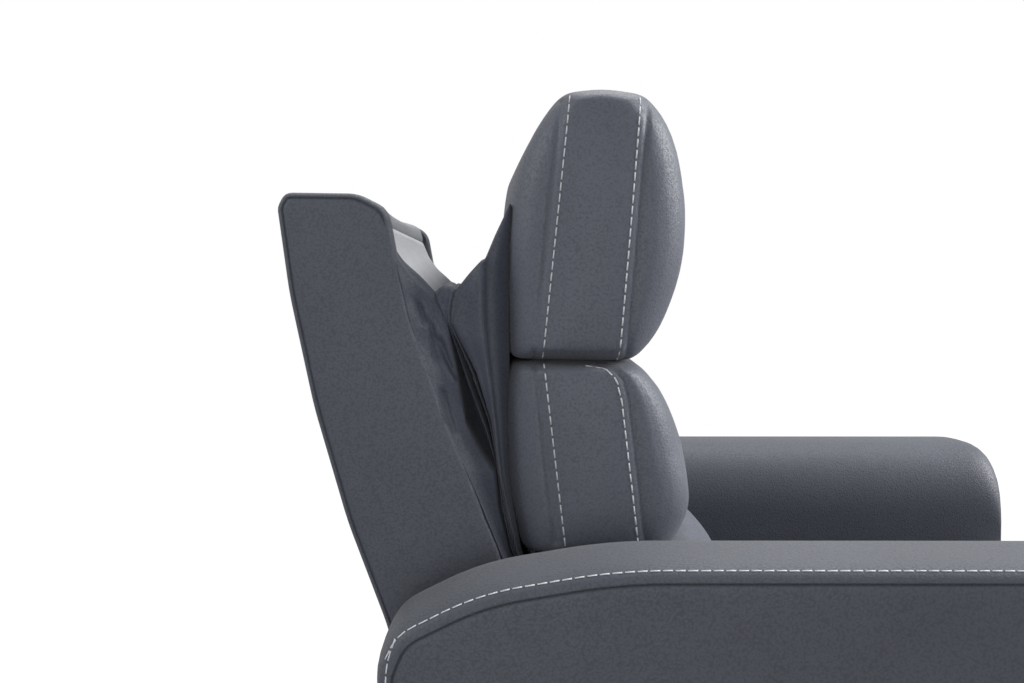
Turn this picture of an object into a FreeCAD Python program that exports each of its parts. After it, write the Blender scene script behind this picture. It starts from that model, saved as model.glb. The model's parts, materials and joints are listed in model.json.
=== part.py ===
"""Power lift recliner: a steel lift base, an upholstered chair, a reclining back and a footrest.

The upper part of the back tilts as a headrest. Millimetres, +Z up, the sitter faces -Y. Side-view points
are written (f, z), where f is the distance forward of the origin, so y = -f. The origin is the middle of
the footprint on the floor.
"""

import FreeCAD
import Part
import math
import os

# Overall sizes
WIDTH = 850.0
ARM_WIDTH = 160.0
ARM_HEIGHT = 650.0
ARM_CLEARANCE = 30.0
ARM_FRONT = 438.0
ARM_REAR = -346.0
ARM_EDGE_RADIUS = 26.0
ARM_WALL = 20.0
ARM_SWEEP = [(-150.0, 650.0, 500), (-262.0, 631.0, 240), (-332.0, 596.0, 70), (ARM_REAR, 562.0, 40)]
ARM_HOLLOW_SWEEP = [
    (-150.0, 630.0, 480), (-258.0, 612.0, 220), (-317.0, 583.0, 50), (ARM_REAR + ARM_WALL, 552.0, 20),
]
FLOOR_GAP = 12.0
FIT = 0.1

# Widths across the chair, each measured from the middle plane
HALF = WIDTH / 2
ARM_INNER = HALF - ARM_WIDTH
SHELL_OUTER = ARM_INNER - 5.0
SHELL_WALL = 24.0
SHELL_INNER = SHELL_OUTER - SHELL_WALL
POST_THICK = 21.0
POST_OUTER = SHELL_INNER - 1.0
POST_INNER = POST_OUTER - POST_THICK
PILLOW_HALF = 258.0
SEAT_HALF = 261.0
FOOT_HALF = 256.0

# Back shell, side view
SHELL_REAR_TOP = (-450.0, 941.0)
SHELL_TOP_Z = 955.0
SHELL_FRONT_TOP = (-356.0, 945.0)
SHELL_FRONT_LOW = (-148.0, 350.0)
SHELL_REAR_LOW = (-290.0, 335.0)
SHELL_FRONT_EDGE = [
    (-244.0, 617.0, 400), (-297.0, 748.0, 400), (-331.0, 842.0, 300), (-349.0, 940.0, 24),
]
SHELL_REAR_EDGE = [
    (-451.0, 941.0, 12), (-440.5, 862.0, 400), (-418.5, 757.0, 400), (-386.0, 650.0, 400),
    (-348.0, 556.0, 200),
]
SHELL_FRONT_SLOPE = (SHELL_FRONT_LOW[0] - SHELL_FRONT_TOP[0]) / (SHELL_FRONT_TOP[1] - SHELL_FRONT_LOW[1])
SHELL_REAR_SLOPE = (SHELL_REAR_LOW[0] - SHELL_REAR_TOP[0]) / (SHELL_REAR_TOP[1] - SHELL_REAR_LOW[1])
REAR_PANEL_THICK = 20.0
ROLL_FRONT = -352.0
BACK_RAIL_FRONT = 36.0

# Pivots, side view
LIFT_BASE = (166.2, 107.0)
LIFT_CHAIR = (-182.3, 121.6)
STAY_BASE = (245.9, 100.2)
STAY_CHAIR = (48.7, 110.0)
BACK_PIVOT = (-195.0, 385.0)
HEAD_PIVOT = (-226.5, 576.0)
FOOT_PIVOT = (200.0, 330.0)
FOOT_KNEE = (280.24, 191.58)
FOOT_BOARD_PIVOT = (340.0, 340.0)
LIFT_SHAFT_R = 10.0
BACK_PIN_R = 7.0
HEAD_SHAFT_R = 6.0
PIN_R = 5.0

# Planes of the side plates and links, each from the inner face outwards
PLATE = 6.0
BASE_LIFT_PLANE = 200.0
LIFT_ARM_PLANE = 208.0
LIFT_PLATE_PLANE = 216.0
STAY_ARM_PLANE = 224.0
BASE_STAY_PLANE = 232.0
BACK_BRACKET_PLANE = 203.0
RAIL_PLANE = 258.0
FOOT_REAR_PLANE = 251.0
FOOT_FRONT_PLANE = 244.0
FOOT_BRACKET_PLANE = 237.0
LINK = 5.0

# Base frame
BASE_REAR = -300.0
BASE_FRONT = 330.0
BASE_TUBE_W = 40.0
BASE_TUBE_H = 25.0
BASE_OUTER = 240.0

# Chair frame
RAIL_LOW = 190.0
RAIL_TOP = 349.0
RAIL_REAR = -120.0
RAIL_FRONT = 330.0
CROSS_TUBE = 25.0
CROSS_LOW = 205.0
REAR_CROSS_F = -88.0
FRONT_CROSS_F = 72.0
ARM_BOLTS = [(-80.0, 250.0), (-80.0, 310.0), (130.0, 275.0), (290.0, 312.0)]
BOLT_R = 4.0

# Seat and footrest
SEAT_FRAME_TOP = 396.0
SEAT_LOW = 403.0
SEAT_TOP = 503.0
SEAT_CROWN = 16.0
SEAT_REAR = -92.0
SEAT_FRONT = 449.0
FOOT_BACK = 366.0
FOOT_BOARD = 15.0
FOOT_FRONT = 450.0
FOOT_TOP = 376.0
FOOT_LOW = 86.0

# Board behind the upper pillows
BOARD_BACK = -251.0
BOARD_FRONT = -239.0
BOARD_LOW = 622.0
BOARD_TOP = 850.0
BOARD_HALF = 203.0

# Actuators: where each body hangs, where its rod end rests, and the slack of the open pivot
LIFT_DRIVE = {"from": (-262.0, 62.0), "to": (166.2, 177.0), "x": -40.0, "slack": 4.5}
RECLINE_DRIVE = {"from": (185.0, 262.0), "to": (-195.0, 310.0), "x": 75.0, "slack": 4.5}
FOOT_DRIVE = {"from": (-70.0, 258.0), "to": (179.0, 296.0), "x": -75.0, "slack": 5.5}
HEAD_DRIVE = {"from": (-255.0, 398.0), "to": (-306.5, 596.0), "x": 0.0, "slack": 2.5}
EYE_WALL = 5.0
EYE_THICK = 12.0
LEVER = 6.0
DRIVE_TUBE_R = 16.0
DRIVE_ROD_R = 9.0
GEARBOX = 52.0
MOTOR_R = 21.0
MOTOR_LENGTH = 92.0

# Control panel on the outer face of the sitter's right arm
PANEL_CENTRE = (300.0, 470.0)
PANEL_LENGTH = 150.0
PANEL_HEIGHT = 62.0
PANEL_DEPTH = 16.0
PANEL_PROUD = -2.5
BUTTON_R = 8.5
BUTTON_PITCH_F = 26.0
BUTTON_PITCH_Z = 28.0
BUTTON_COLUMNS = 4
BUTTON_PROUD = 2.3
BUTTON_STROKE = 2.0
BUTTON_NAMES = [
    "button_lift_up", "button_back_up", "button_foot_up", "button_head_up",
    "button_lift_down", "button_back_down", "button_foot_down", "button_head_down",
]

SIDES = {"right": -1, "left": 1}


def point(x, f, z):
    return FreeCAD.Vector(x, -f, z)


def rounded_wire(corners, x):
    """Closed wire in the plane at x through (f, z, radius) corners, each rounded to its radius."""
    count = len(corners)
    trimmed = []
    for i in range(count):
        before, here, after = corners[i - 1], corners[i], corners[(i + 1) % count]
        p = FreeCAD.Vector(here[0], here[1], 0)
        to_before = (FreeCAD.Vector(before[0], before[1], 0) - p).normalize()
        to_after = (FreeCAD.Vector(after[0], after[1], 0) - p).normalize()
        radius = here[2]
        if radius <= 0:
            trimmed.append((p, None, p))
            continue
        half_angle = math.acos(max(-1.0, min(1.0, to_before.dot(to_after)))) / 2
        reach = radius / math.tan(half_angle)
        bisector = (to_before + to_after).normalize()
        middle = p + bisector * (radius / math.sin(half_angle) - radius)
        trimmed.append((p + to_before * reach, middle, p + to_after * reach))
    edges = []
    for i in range(count):
        start, middle, end = (None if q is None else point(x, q.x, q.y) for q in trimmed[i])
        following = trimmed[(i + 1) % count][0]
        following = point(x, following.x, following.y)
        if middle is not None:
            edges.append(Part.Arc(start, middle, end).toShape())
        if (following - end).Length > 1e-6:
            edges.append(Part.LineSegment(end, following).toShape())
    return Part.Wire(edges)


def plate(corners, x_low, x_high):
    """Flat plate of the side-view outline between two planes across the chair."""
    low, high = sorted((x_low, x_high))
    return Part.Face(rounded_wire(corners, low)).extrude(FreeCAD.Vector(high - low, 0, 0))


def side_plate(corners, side, plane, thickness):
    """A plate on one side of the chair: plane is its inner face's distance from the middle."""
    return plate(corners, side * plane, side * (plane + thickness))


def box(x_low, x_high, f_low, f_high, z_low, z_high):
    corner = FreeCAD.Vector(x_low, -f_high, z_low)
    return Part.makeBox(x_high - x_low, f_high - f_low, z_high - z_low, corner)


def side_box(side, inner, outer, f_low, f_high, z_low, z_high):
    low, high = sorted((side * inner, side * outer))
    return box(low, high, f_low, f_high, z_low, z_high)


def rod_across(centre, radius, x_low, x_high):
    """Round bar along X through a side-view point."""
    low, high = sorted((x_low, x_high))
    return Part.makeCylinder(radius, high - low, point(low, *centre), FreeCAD.Vector(1, 0, 0))


def link_outline(start, end, half_width):
    """Corners of a bar with rounded ends, from one side-view point to another."""
    length = math.dist(start, end)
    af, az = (end[0] - start[0]) / length, (end[1] - start[1]) / length
    radius = half_width * 0.98
    corners = []
    for (cf, cz), along, across in ((start, -1, 1), (start, -1, -1), (end, 1, -1), (end, 1, 1)):
        f = cf + half_width * (along * af - across * az)
        z = cz + half_width * (along * az + across * af)
        corners.append((f, z, radius))
    return corners


def group(*solids):
    return Part.makeCompound(list(solids))


def fuse(first, *others):
    joined = first.fuse(list(others)) if others else first
    return joined.removeSplitter()


def shell_front(z):
    return SHELL_FRONT_TOP[0] + (SHELL_FRONT_TOP[1] - z) * SHELL_FRONT_SLOPE


def shell_rear(z):
    return SHELL_REAR_TOP[0] + (SHELL_REAR_TOP[1] - z) * SHELL_REAR_SLOPE


def drawn_in(corners, share_f, share_z):
    """The outline shrunk about its middle by a share of its size each way."""
    mid_f = (min(c[0] for c in corners) + max(c[0] for c in corners)) / 2
    mid_z = (min(c[1] for c in corners) + max(c[1] for c in corners)) / 2
    smaller = min(1 - share_f, 1 - share_z)
    return [
        (mid_f + (f - mid_f) * (1 - share_f), mid_z + (z - mid_z) * (1 - share_z), r * smaller)
        for f, z, r in corners
    ]


def cushion(corners, half_width, edge, draw, crown):
    """Crowned pad: the side-view outline lofted across, drawn in at both ends and fullest in the middle."""
    stations = [
        (-half_width, draw), (-half_width + edge, draw * 0.25), (-half_width / 2, -crown / 2), (0, -crown),
        (half_width / 2, -crown / 2), (half_width - edge, draw * 0.25), (half_width, draw),
    ]
    wires = [rounded_wire(drawn_in(corners, share, max(share, 0)), x) for x, share in stations]
    return Part.makeLoft(wires, True, False)


def base_frame():
    low, high = FLOOR_GAP, FLOOR_GAP + BASE_TUBE_H
    inner = BASE_OUTER - BASE_TUBE_W
    parts = []
    for side in SIDES.values():
        parts.append(side_box(side, inner, BASE_OUTER, BASE_REAR, BASE_FRONT, low, high))
        lift_ear = [(LIFT_BASE[0] - 34, high, 0), (LIFT_BASE[0] + 34, high, 0),
                    (LIFT_BASE[0] + 17, LIFT_BASE[1] + 18, 16), (LIFT_BASE[0] - 17, LIFT_BASE[1] + 18, 16)]
        ear = side_plate(lift_ear, side, BASE_LIFT_PLANE, PLATE)
        parts.append(ear.cut(rod_across(LIFT_BASE, LIFT_SHAFT_R + FIT, -HALF, HALF)))
        stay_ear = [(STAY_BASE[0] - 30, high, 0), (STAY_BASE[0] + 30, high, 0),
                    (STAY_BASE[0] + 15, STAY_BASE[1] + 16, 14), (STAY_BASE[0] - 15, STAY_BASE[1] + 16, 14)]
        ear = side_plate(stay_ear, side, BASE_STAY_PLANE, PLATE)
        parts.append(ear.cut(rod_across(STAY_BASE, PIN_R, -HALF, HALF)))
    parts.append(box(-inner, inner, BASE_REAR, BASE_REAR + BASE_TUBE_W, low, high))
    parts.append(box(-inner, inner, BASE_FRONT - BASE_TUBE_W, BASE_FRONT, low, high))
    parts += drive_bracket(LIFT_DRIVE, BASE_REAR + BASE_TUBE_W / 2, high)
    return group(*parts)


def drive_bracket(drive, foot_f, foot_z):
    """Two ears and a pin that carry the fixed end of an actuator, standing on a foot at foot_z."""
    f, z = drive["from"]
    ears = []
    for direction in (-1, 1):
        inner = drive["x"] + direction * (EYE_THICK / 2 + 1)
        outline = [(foot_f - 18, foot_z, 0), (foot_f + 18, foot_z, 0), (f + 11, z + 10, 9),
                   (f - 11, z + 10, 9)]
        ears.append(plate(outline, inner, inner + direction * LEVER))
    reach = EYE_THICK / 2 + LEVER + 1
    pin = rod_across((f, z), PIN_R, drive["x"] - reach, drive["x"] + reach)
    return [fuse(ears[0], ears[1], pin)]


def floor_glides():
    feet = []
    inner = BASE_OUTER - BASE_TUBE_W / 2
    for side in SIDES.values():
        for f in (BASE_REAR + 30, BASE_FRONT - 30):
            foot = Part.makeCone(20, 16, FLOOR_GAP, point(side * inner, f, 0), FreeCAD.Vector(0, 0, 1))
            feet.append(foot)
    return group(*feet)


def stay_pins():
    pins = []
    for side in SIDES.values():
        low, high = side * STAY_ARM_PLANE, side * (BASE_STAY_PLANE + PLATE + 3)
        pins.append(rod_across(STAY_BASE, PIN_R, low, high))
    return group(*pins)


def lift_arms():
    parts = []
    for side in SIDES.values():
        arm = side_plate(link_outline(LIFT_BASE, LIFT_CHAIR, 17), side, LIFT_ARM_PLANE, PLATE)
        parts.append(arm.cut(rod_across(LIFT_CHAIR, PIN_R + 2 + FIT, -HALF, HALF)))
    shaft = rod_across(LIFT_BASE, LIFT_SHAFT_R, -LIFT_ARM_PLANE - 1, LIFT_ARM_PLANE + 1)
    return fuse(shaft, *parts, *drive_lever(LIFT_DRIVE, LIFT_BASE, 15))


def drive_lever(drive, pivot, half_width):
    """Lever plate beside the rod's eye, with the pin that the eye goes round."""
    plane = drive["x"] + EYE_THICK / 2 + 1
    lever = plate(link_outline(pivot, drive["to"], half_width), plane, plane + LEVER)
    pin = rod_across(drive["to"], PIN_R, drive["x"] - EYE_THICK / 2 - 2, plane + LEVER)
    return [lever, pin]


def stay_arms():
    arms = []
    for side in SIDES.values():
        arm = side_plate(link_outline(STAY_BASE, STAY_CHAIR, 15), side, STAY_ARM_PLANE, PLATE)
        arm = arm.cut(rod_across(STAY_BASE, PIN_R + FIT, -HALF, HALF))
        arms.append(arm.cut(rod_across(STAY_CHAIR, PIN_R + 1.6, -HALF, HALF)))
    return group(*arms)


def side_rail(side):
    """Seat rail bolted to the arm: an upright web, and the welded flange that carries the seat frame."""
    outline = [(RAIL_REAR, RAIL_LOW, 12), (RAIL_FRONT, RAIL_LOW + 90, 20), (RAIL_FRONT, RAIL_TOP, 0),
               (RAIL_REAR, RAIL_TOP, 0)]
    web = side_plate(outline, side, RAIL_PLANE, PLATE)
    for f, z in ARM_BOLTS:
        web = web.cut(rod_across((f, z), BOLT_R + 0.3, -HALF, HALF))
        web = web.cut(bolt_head(f, z, side, 0.3))
    web = web.cut(rod_across(FOOT_PIVOT, LIFT_SHAFT_R + FIT, -HALF, HALF))
    flange = side_box(side, 200, RAIL_PLANE, RAIL_REAR + 25, RAIL_FRONT - 15, RAIL_TOP - 4, RAIL_TOP)
    return group(web, flange)


def bolt_head(f, z, side, room):
    """Countersunk head flush with the rail's inner face, with room all round for its seat."""
    face = point(side * RAIL_PLANE, f, z)
    return Part.makeCone(BOLT_R * 1.75 + room, BOLT_R + room, 3, face, FreeCAD.Vector(side, 0, 0))


def cross_tubes():
    """Two tubes between the seat rails, with the carriers of the footrest and recline actuators."""
    tubes = []
    for centre in (REAR_CROSS_F, FRONT_CROSS_F):
        tubes.append(box(-RAIL_PLANE, RAIL_PLANE, centre - CROSS_TUBE / 2, centre + CROSS_TUBE / 2,
                         CROSS_LOW, CROSS_LOW + CROSS_TUBE))
    f = RECLINE_DRIVE["from"][0]
    half = EYE_THICK / 2 + LEVER + 1
    outrigger_top = CROSS_LOW + CROSS_TUBE - 4
    outrigger = box(RECLINE_DRIVE["x"] - half, RECLINE_DRIVE["x"] + half, FRONT_CROSS_F + CROSS_TUBE / 2,
                    f + 20, CROSS_LOW, outrigger_top)
    carriers = drive_bracket(FOOT_DRIVE, REAR_CROSS_F, CROSS_LOW + CROSS_TUBE)
    carriers += drive_bracket(RECLINE_DRIVE, f, outrigger_top)
    return group(*tubes, outrigger, *carriers)


def lift_plates():
    """Hanging plates under the seat that the lift arms and stay arms push on, with their pins."""
    plates = []
    for side in SIDES.values():
        outline = [(LIFT_CHAIR[0] - 20, LIFT_CHAIR[1] - 18, 16),
                   (STAY_CHAIR[0] + 20, STAY_CHAIR[1] - 18, 16),
                   (FRONT_CROSS_F + 12, CROSS_LOW - 0.5, 0), (REAR_CROSS_F - 60, CROSS_LOW - 0.5, 0)]
        hanger = side_plate(outline, side, LIFT_PLATE_PLANE, PLATE)
        tab = side_box(side, LIFT_PLATE_PLANE, LIFT_PLATE_PLANE + 20, REAR_CROSS_F - 40, FRONT_CROSS_F + 12,
                       CROSS_LOW - 5.5, CROSS_LOW)
        lift_end, stay_end = side * (LIFT_ARM_PLANE - 2), side * (STAY_ARM_PLANE + PLATE + 1)
        lift_pin = rod_across(LIFT_CHAIR, PIN_R + 2, lift_end, side * (LIFT_PLATE_PLANE + 1))
        stay_pin = rod_across(STAY_CHAIR, PIN_R, side * LIFT_PLATE_PLANE, stay_end)
        plates.append(fuse(hanger, tab, lift_pin, stay_pin))
    return group(*plates)


def back_brackets():
    """Uprights on the rear cross tube, with the pins that the back hinges on."""
    uprights = []
    rear_face = REAR_CROSS_F - CROSS_TUBE / 2
    for side in SIDES.values():
        outline = [(rear_face, CROSS_LOW, 0), (rear_face, CROSS_LOW + CROSS_TUBE + 60, 40),
                   (BACK_PIVOT[0] + 22, BACK_PIVOT[1] + 14, 16),
                   (BACK_PIVOT[0] - 18, BACK_PIVOT[1] + 14, 14),
                   (BACK_PIVOT[0] - 18, BACK_PIVOT[1] - 16, 14), (rear_face - 46, CROSS_LOW, 20)]
        upright = side_plate(outline, side, BACK_BRACKET_PLANE, PLATE)
        pin = rod_across(BACK_PIVOT, BACK_PIN_R, side * BACK_BRACKET_PLANE, side * (POST_OUTER - 2))
        uprights.append(fuse(upright, pin))
    return group(*uprights)


def arm_outline(rear, front, low, high, sweep):
    """Side view of an arm: level top, a round front corner, and a rear end that sweeps down."""
    return [(rear, low, 0), (front, low, 0), (front, high, 60), *sweep]


def arm_cover(side):
    outline = arm_outline(ARM_REAR, ARM_FRONT, ARM_CLEARANCE, ARM_HEIGHT, ARM_SWEEP)
    outer = side_plate(outline, side, ARM_INNER, ARM_WIDTH)
    rim = [e for e in outer.Edges if is_arm_rim(e)]
    outer = outer.makeFillet(ARM_EDGE_RADIUS, rim)
    outline = arm_outline(ARM_REAR + ARM_WALL, ARM_FRONT - ARM_WALL, ARM_CLEARANCE - ARM_WALL,
                          ARM_HEIGHT - ARM_WALL, ARM_HOLLOW_SWEEP)
    hollow = side_plate(outline, side, ARM_INNER + ARM_WALL, ARM_WIDTH - 2 * ARM_WALL)
    shell = outer.cut(hollow)
    for f, z in ARM_BOLTS:
        hole_end = side * (ARM_INNER + ARM_WALL + 1)
        shell = shell.cut(rod_across((f, z), BOLT_R + 0.5, side * ARM_INNER, hole_end))
    if side == SIDES["right"]:
        f, z = PANEL_CENTRE
        half_l, half_h = PANEL_LENGTH / 2, PANEL_HEIGHT / 2
        opening = side_box(side, HALF - ARM_WALL - 1, HALF + 1, f - half_l, f + half_l,
                           z - half_h, z + half_h)
        shell = shell.cut(opening)
    return shell


def is_arm_rim(edge):
    """True for the outline edges of an arm above its foot that lie on its inner or outer face."""
    box_ = edge.BoundBox
    return box_.XLength < 1e-3 and box_.ZMax > ARM_CLEARANCE + 1


def arm_frame(side):
    """Plywood box inside the arm: two panels, a top rail and two posts."""
    gap = 1.0
    inner, outer = ARM_INNER + ARM_WALL + gap, HALF - ARM_WALL - gap
    ply, rail = 12.0, 30.0
    low, high = 60.0, 520.0
    f_low, f_high = ARM_REAR + ARM_WALL + 1, ARM_FRONT - ARM_WALL - 1
    parts = [
        side_box(side, inner, inner + ply, f_low, f_high, low, high),
        side_box(side, inner, outer, f_low, f_low + rail, low, high),
        side_box(side, inner, outer, f_high - rail, f_high, low, high),
        side_box(side, inner, outer, f_low, f_high, high - rail, high),
        side_box(side, inner, outer, f_low, f_high, low, low + rail),
    ]
    frame = fuse(*parts)
    for f, z in ARM_BOLTS:
        frame = frame.cut(rod_across((f, z), BOLT_R + 0.3, -HALF, HALF))
    return frame


def arm_bolts():
    bolts = []
    for side in SIDES.values():
        for f, z in ARM_BOLTS:
            tip = side * (ARM_INNER + ARM_WALL + 12)
            shank = rod_across((f, z), BOLT_R, side * (RAIL_PLANE + 0.5), tip)
            bolts.append(fuse(shank, bolt_head(f, z, side, 0.0)))
    return group(*bolts)


def seat_frame():
    """Four wooden rails that carry the springs."""
    half, rail = 228.0, 24.0
    rear, front = SEAT_REAR + 2, 344.0
    low, high = RAIL_TOP, SEAT_FRAME_TOP
    return group(
        box(-half, -half + rail, rear, front, low, high),
        box(half - rail, half, rear, front, low, high),
        box(-half + rail, half - rail, rear, rear + rail, low, high),
        box(-half + rail, half - rail, front - rail, front, low, high),
    )


def zigzag(x, start, end, across, wire):
    """Zigzag wire spring in the plane between two points: straight runs joined by round bends."""
    bends = 14
    axis = point(0, *end) - point(0, *start)
    length = axis.Length
    axis.normalize()
    pitch = length / bends
    bend_r = pitch / 2
    side = FreeCAD.Vector(1, 0, 0)
    origin = point(x, *start)
    edges = [Part.LineSegment(origin, origin + side * across).toShape()]
    direction = 1
    for i in range(bends):
        here = origin + axis * (pitch * i) + side * (direction * across)
        top = here + axis * bend_r + side * (direction * bend_r)
        there = here + axis * pitch
        edges.append(Part.Arc(here, top, there).toShape())
        run = across if i == bends - 1 else 2 * across
        edges.append(Part.LineSegment(there, there - side * (direction * run)).toShape())
        direction = -direction
    path = Part.Wire(edges)
    section = Part.Wire(Part.makeCircle(wire, origin, side))
    return path.makePipeShell([section], True, False)


def seat_springs():
    springs = []
    rear, front, wire = SEAT_REAR + 12, 334.0, 1.9
    for i in range(5):
        x = -160 + 80 * i
        level = SEAT_FRAME_TOP + wire + 0.05
        springs.append(zigzag(x, (rear, level), (front, level), 14, wire))
    return group(*springs)


def back_springs():
    springs = []
    wire = 1.7
    for x in (-140, -50, 50, 140):
        low = (back_depth(420, BACK_RAIL_FRONT - wire * 1.1), 420)
        high = (back_depth(898, BACK_RAIL_FRONT - wire * 1.1), 898)
        springs.append(zigzag(x, low, high, 10, wire))
    return group(*springs)


def seat_cushion():
    outline = [(SEAT_REAR, SEAT_LOW, 20), (SEAT_FRONT - 3, SEAT_LOW, 30), (SEAT_FRONT - 3, SEAT_TOP, 44),
               (SEAT_REAR, SEAT_TOP, 24)]
    return crowned_top(outline, SEAT_HALF, 26, 0.035, SEAT_CROWN)


def crowned_top(outline, half_width, edge, draw, crown):
    """Seat pad: flat underneath, drawn in at its sides, its top rising towards the middle."""
    high = max(c[1] for c in outline)
    stations = [
        (-half_width, draw, -6), (-half_width + edge, 0.004, 0), (-half_width / 2, 0, crown * 0.7),
        (0, 0, crown),
        (half_width / 2, 0, crown * 0.7), (half_width - edge, 0.004, 0), (half_width, draw, -6),
    ]
    mid_f = (outline[0][0] + outline[1][0]) / 2
    wires = []
    for x, share, rise in stations:
        lifted = []
        for f, z, r in outline:
            lift = rise if z == high else share * 100
            lifted.append((mid_f + (f - mid_f) * (1 - share), z + lift, r))
        wires.append(rounded_wire(lifted, x))
    return Part.makeLoft(wires, True, False)


def rear_panel():
    """Fabric-covered board that closes the chair below the back."""
    half = ARM_INNER
    return box(-half, half, -318, -306, 60, 320)


def control_panel():
    """Moulded plate in the arm with one pocket per button and a socket for a charging lead."""
    side = SIDES["right"]
    f, z = PANEL_CENTRE
    x_in, x_out = HALF - PANEL_DEPTH, HALF + PANEL_PROUD
    half_l, half_h = PANEL_LENGTH / 2 - 0.3, PANEL_HEIGHT / 2 - 0.3
    outline = [(f - half_l, z - half_h, 10), (f + half_l, z - half_h, 10), (f + half_l, z + half_h, 10),
               (f - half_l, z + half_h, 10)]
    body = side_plate(outline, side, x_in, x_out - x_in)
    for centre in button_centres():
        well = rod_across(centre, BUTTON_R + 0.35, side * (x_in + 4), side * (x_out + 1))
        body = body.cut(well)
    uf, uz = charging_centre()
    return body.cut(side_box(side, x_in + 4, x_out + 1, uf - 7, uf + 7, uz - 14, uz + 14))


def button_centres():
    f, z = PANEL_CENTRE
    centres = []
    for row in (1, -1):
        for column in range(BUTTON_COLUMNS):
            offset = (column - (BUTTON_COLUMNS - 1) / 2) * BUTTON_PITCH_F
            centres.append((f + 14 + offset, z + row * BUTTON_PITCH_Z / 2))
    return centres


def charging_centre():
    return PANEL_CENTRE[0] - PANEL_LENGTH / 2 + 18, PANEL_CENTRE[1]


def charging_socket():
    """Socket block with its slot, set in the control panel."""
    side = SIDES["right"]
    f, z = charging_centre()
    x_in, x_out = HALF - PANEL_DEPTH + 4, HALF + PANEL_PROUD - 0.6
    block = side_box(side, x_in, x_out, f - 6.8, f + 6.8, z - 13.8, z + 13.8)
    slot = side_box(side, x_out - 8, x_out + 1, f - 2.6, f + 2.6, z - 6.5, z + 6.5)
    return block.cut(slot)


def button(centre):
    """Round cap with a dished face, standing proud of the panel, its travel left open behind it."""
    side = SIDES["right"]
    back = HALF - PANEL_DEPTH + 4 + BUTTON_STROKE + 0.4
    front = HALF + PANEL_PROUD + BUTTON_PROUD
    cap = rod_across(centre, BUTTON_R, side * back, side * front)
    rim = [e for e in cap.Edges if abs(abs(e.BoundBox.Center.x) - front) < 1e-3]
    cap = cap.makeFillet(1.2, rim)
    dish_r = 40.0
    dish = Part.makeSphere(dish_r, point(side * (front + dish_r - 0.9), *centre))
    return cap.cut(dish)


def foot_links(start, end, plane):
    return [side_plate(link_outline(start, end, 11), side, plane, LINK) for side in SIDES.values()]


def footrest_rear_links():
    links = foot_links(FOOT_PIVOT, FOOT_KNEE, FOOT_REAR_PLANE)
    links = [link.cut(rod_across(FOOT_KNEE, PIN_R + FIT, -HALF, HALF)) for link in links]
    shaft = rod_across(FOOT_PIVOT, LIFT_SHAFT_R, -RAIL_PLANE - PLATE + 1, RAIL_PLANE + PLATE - 1)
    return fuse(shaft, *links, *drive_lever(FOOT_DRIVE, FOOT_PIVOT, 13))


def footrest_front_links():
    links = []
    bars = foot_links(FOOT_KNEE, FOOT_BOARD_PIVOT, FOOT_FRONT_PLANE)
    for side, link in zip(SIDES.values(), bars):
        pin = rod_across(FOOT_KNEE, PIN_R, side * FOOT_FRONT_PLANE, side * (FOOT_REAR_PLANE + LINK + 1))
        bored = link.cut(rod_across(FOOT_BOARD_PIVOT, PIN_R + FIT, -HALF, HALF))
        links.append(fuse(bored, pin))
    return group(*links)


def footrest_brackets():
    brackets = []
    f, z = FOOT_BOARD_PIVOT
    board_rear = FOOT_BACK - FOOT_BOARD
    for side in SIDES.values():
        outline = [(f - 13, z - 12, 10), (board_rear, z - 60, 0), (board_rear, z + 24, 0),
                   (f - 13, z + 12, 10)]
        ear = side_plate(outline, side, FOOT_BRACKET_PLANE, LINK)
        foot = side_box(side, FOOT_BRACKET_PLANE - 25, FOOT_BRACKET_PLANE + LINK, board_rear - 4, board_rear,
                        z - 60, z + 24)
        pin_end = side * (FOOT_FRONT_PLANE + LINK + 1)
        pin = rod_across(FOOT_BOARD_PIVOT, PIN_R, side * FOOT_BRACKET_PLANE, pin_end)
        brackets.append(fuse(ear, foot, pin))
    return group(*brackets)


def footrest_board():
    half = FOOT_HALF - 14
    return box(-half, half, FOOT_BACK - FOOT_BOARD, FOOT_BACK, FOOT_LOW + 12, FOOT_TOP - 12)


def footrest_pad():
    outline = [(FOOT_BACK, FOOT_LOW, 14), (FOOT_FRONT - 6, FOOT_LOW, 30), (FOOT_FRONT - 6, FOOT_TOP, 36),
               (FOOT_BACK, FOOT_TOP, 14)]
    front = max(c[0] for c in outline)
    stations = [(-FOOT_HALF, 0.05, -8), (-FOOT_HALF + 24, 0.006, 0), (-FOOT_HALF / 2, 0, 4), (0, 0, 6),
                (FOOT_HALF / 2, 0, 4), (FOOT_HALF - 24, 0.006, 0), (FOOT_HALF, 0.05, -8)]
    mid_z = (FOOT_LOW + FOOT_TOP) / 2
    wires = []
    for x, share, rise in stations:
        bulged = []
        for f, z, r in outline:
            bulge = rise if f == front else 0
            bulged.append((f + bulge, mid_z + (z - mid_z) * (1 - share), r))
        wires.append(rounded_wire(bulged, x))
    return Part.makeLoft(wires, True, False)


def shell_outline():
    return [
        (*SHELL_REAR_LOW, 14), (*SHELL_FRONT_LOW, 26), *SHELL_FRONT_EDGE,
        (SHELL_FRONT_EDGE[-1][0] - 28, SHELL_TOP_Z - 1, 36), (SHELL_REAR_TOP[0] + 6, SHELL_TOP_Z, 14),
        *SHELL_REAR_EDGE,
    ]


def back_side_panels():
    """Padded wings that close the sides of the back."""
    return group(*[side_plate(shell_outline(), side, SHELL_INNER, SHELL_WALL) for side in SIDES.values()])


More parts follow.
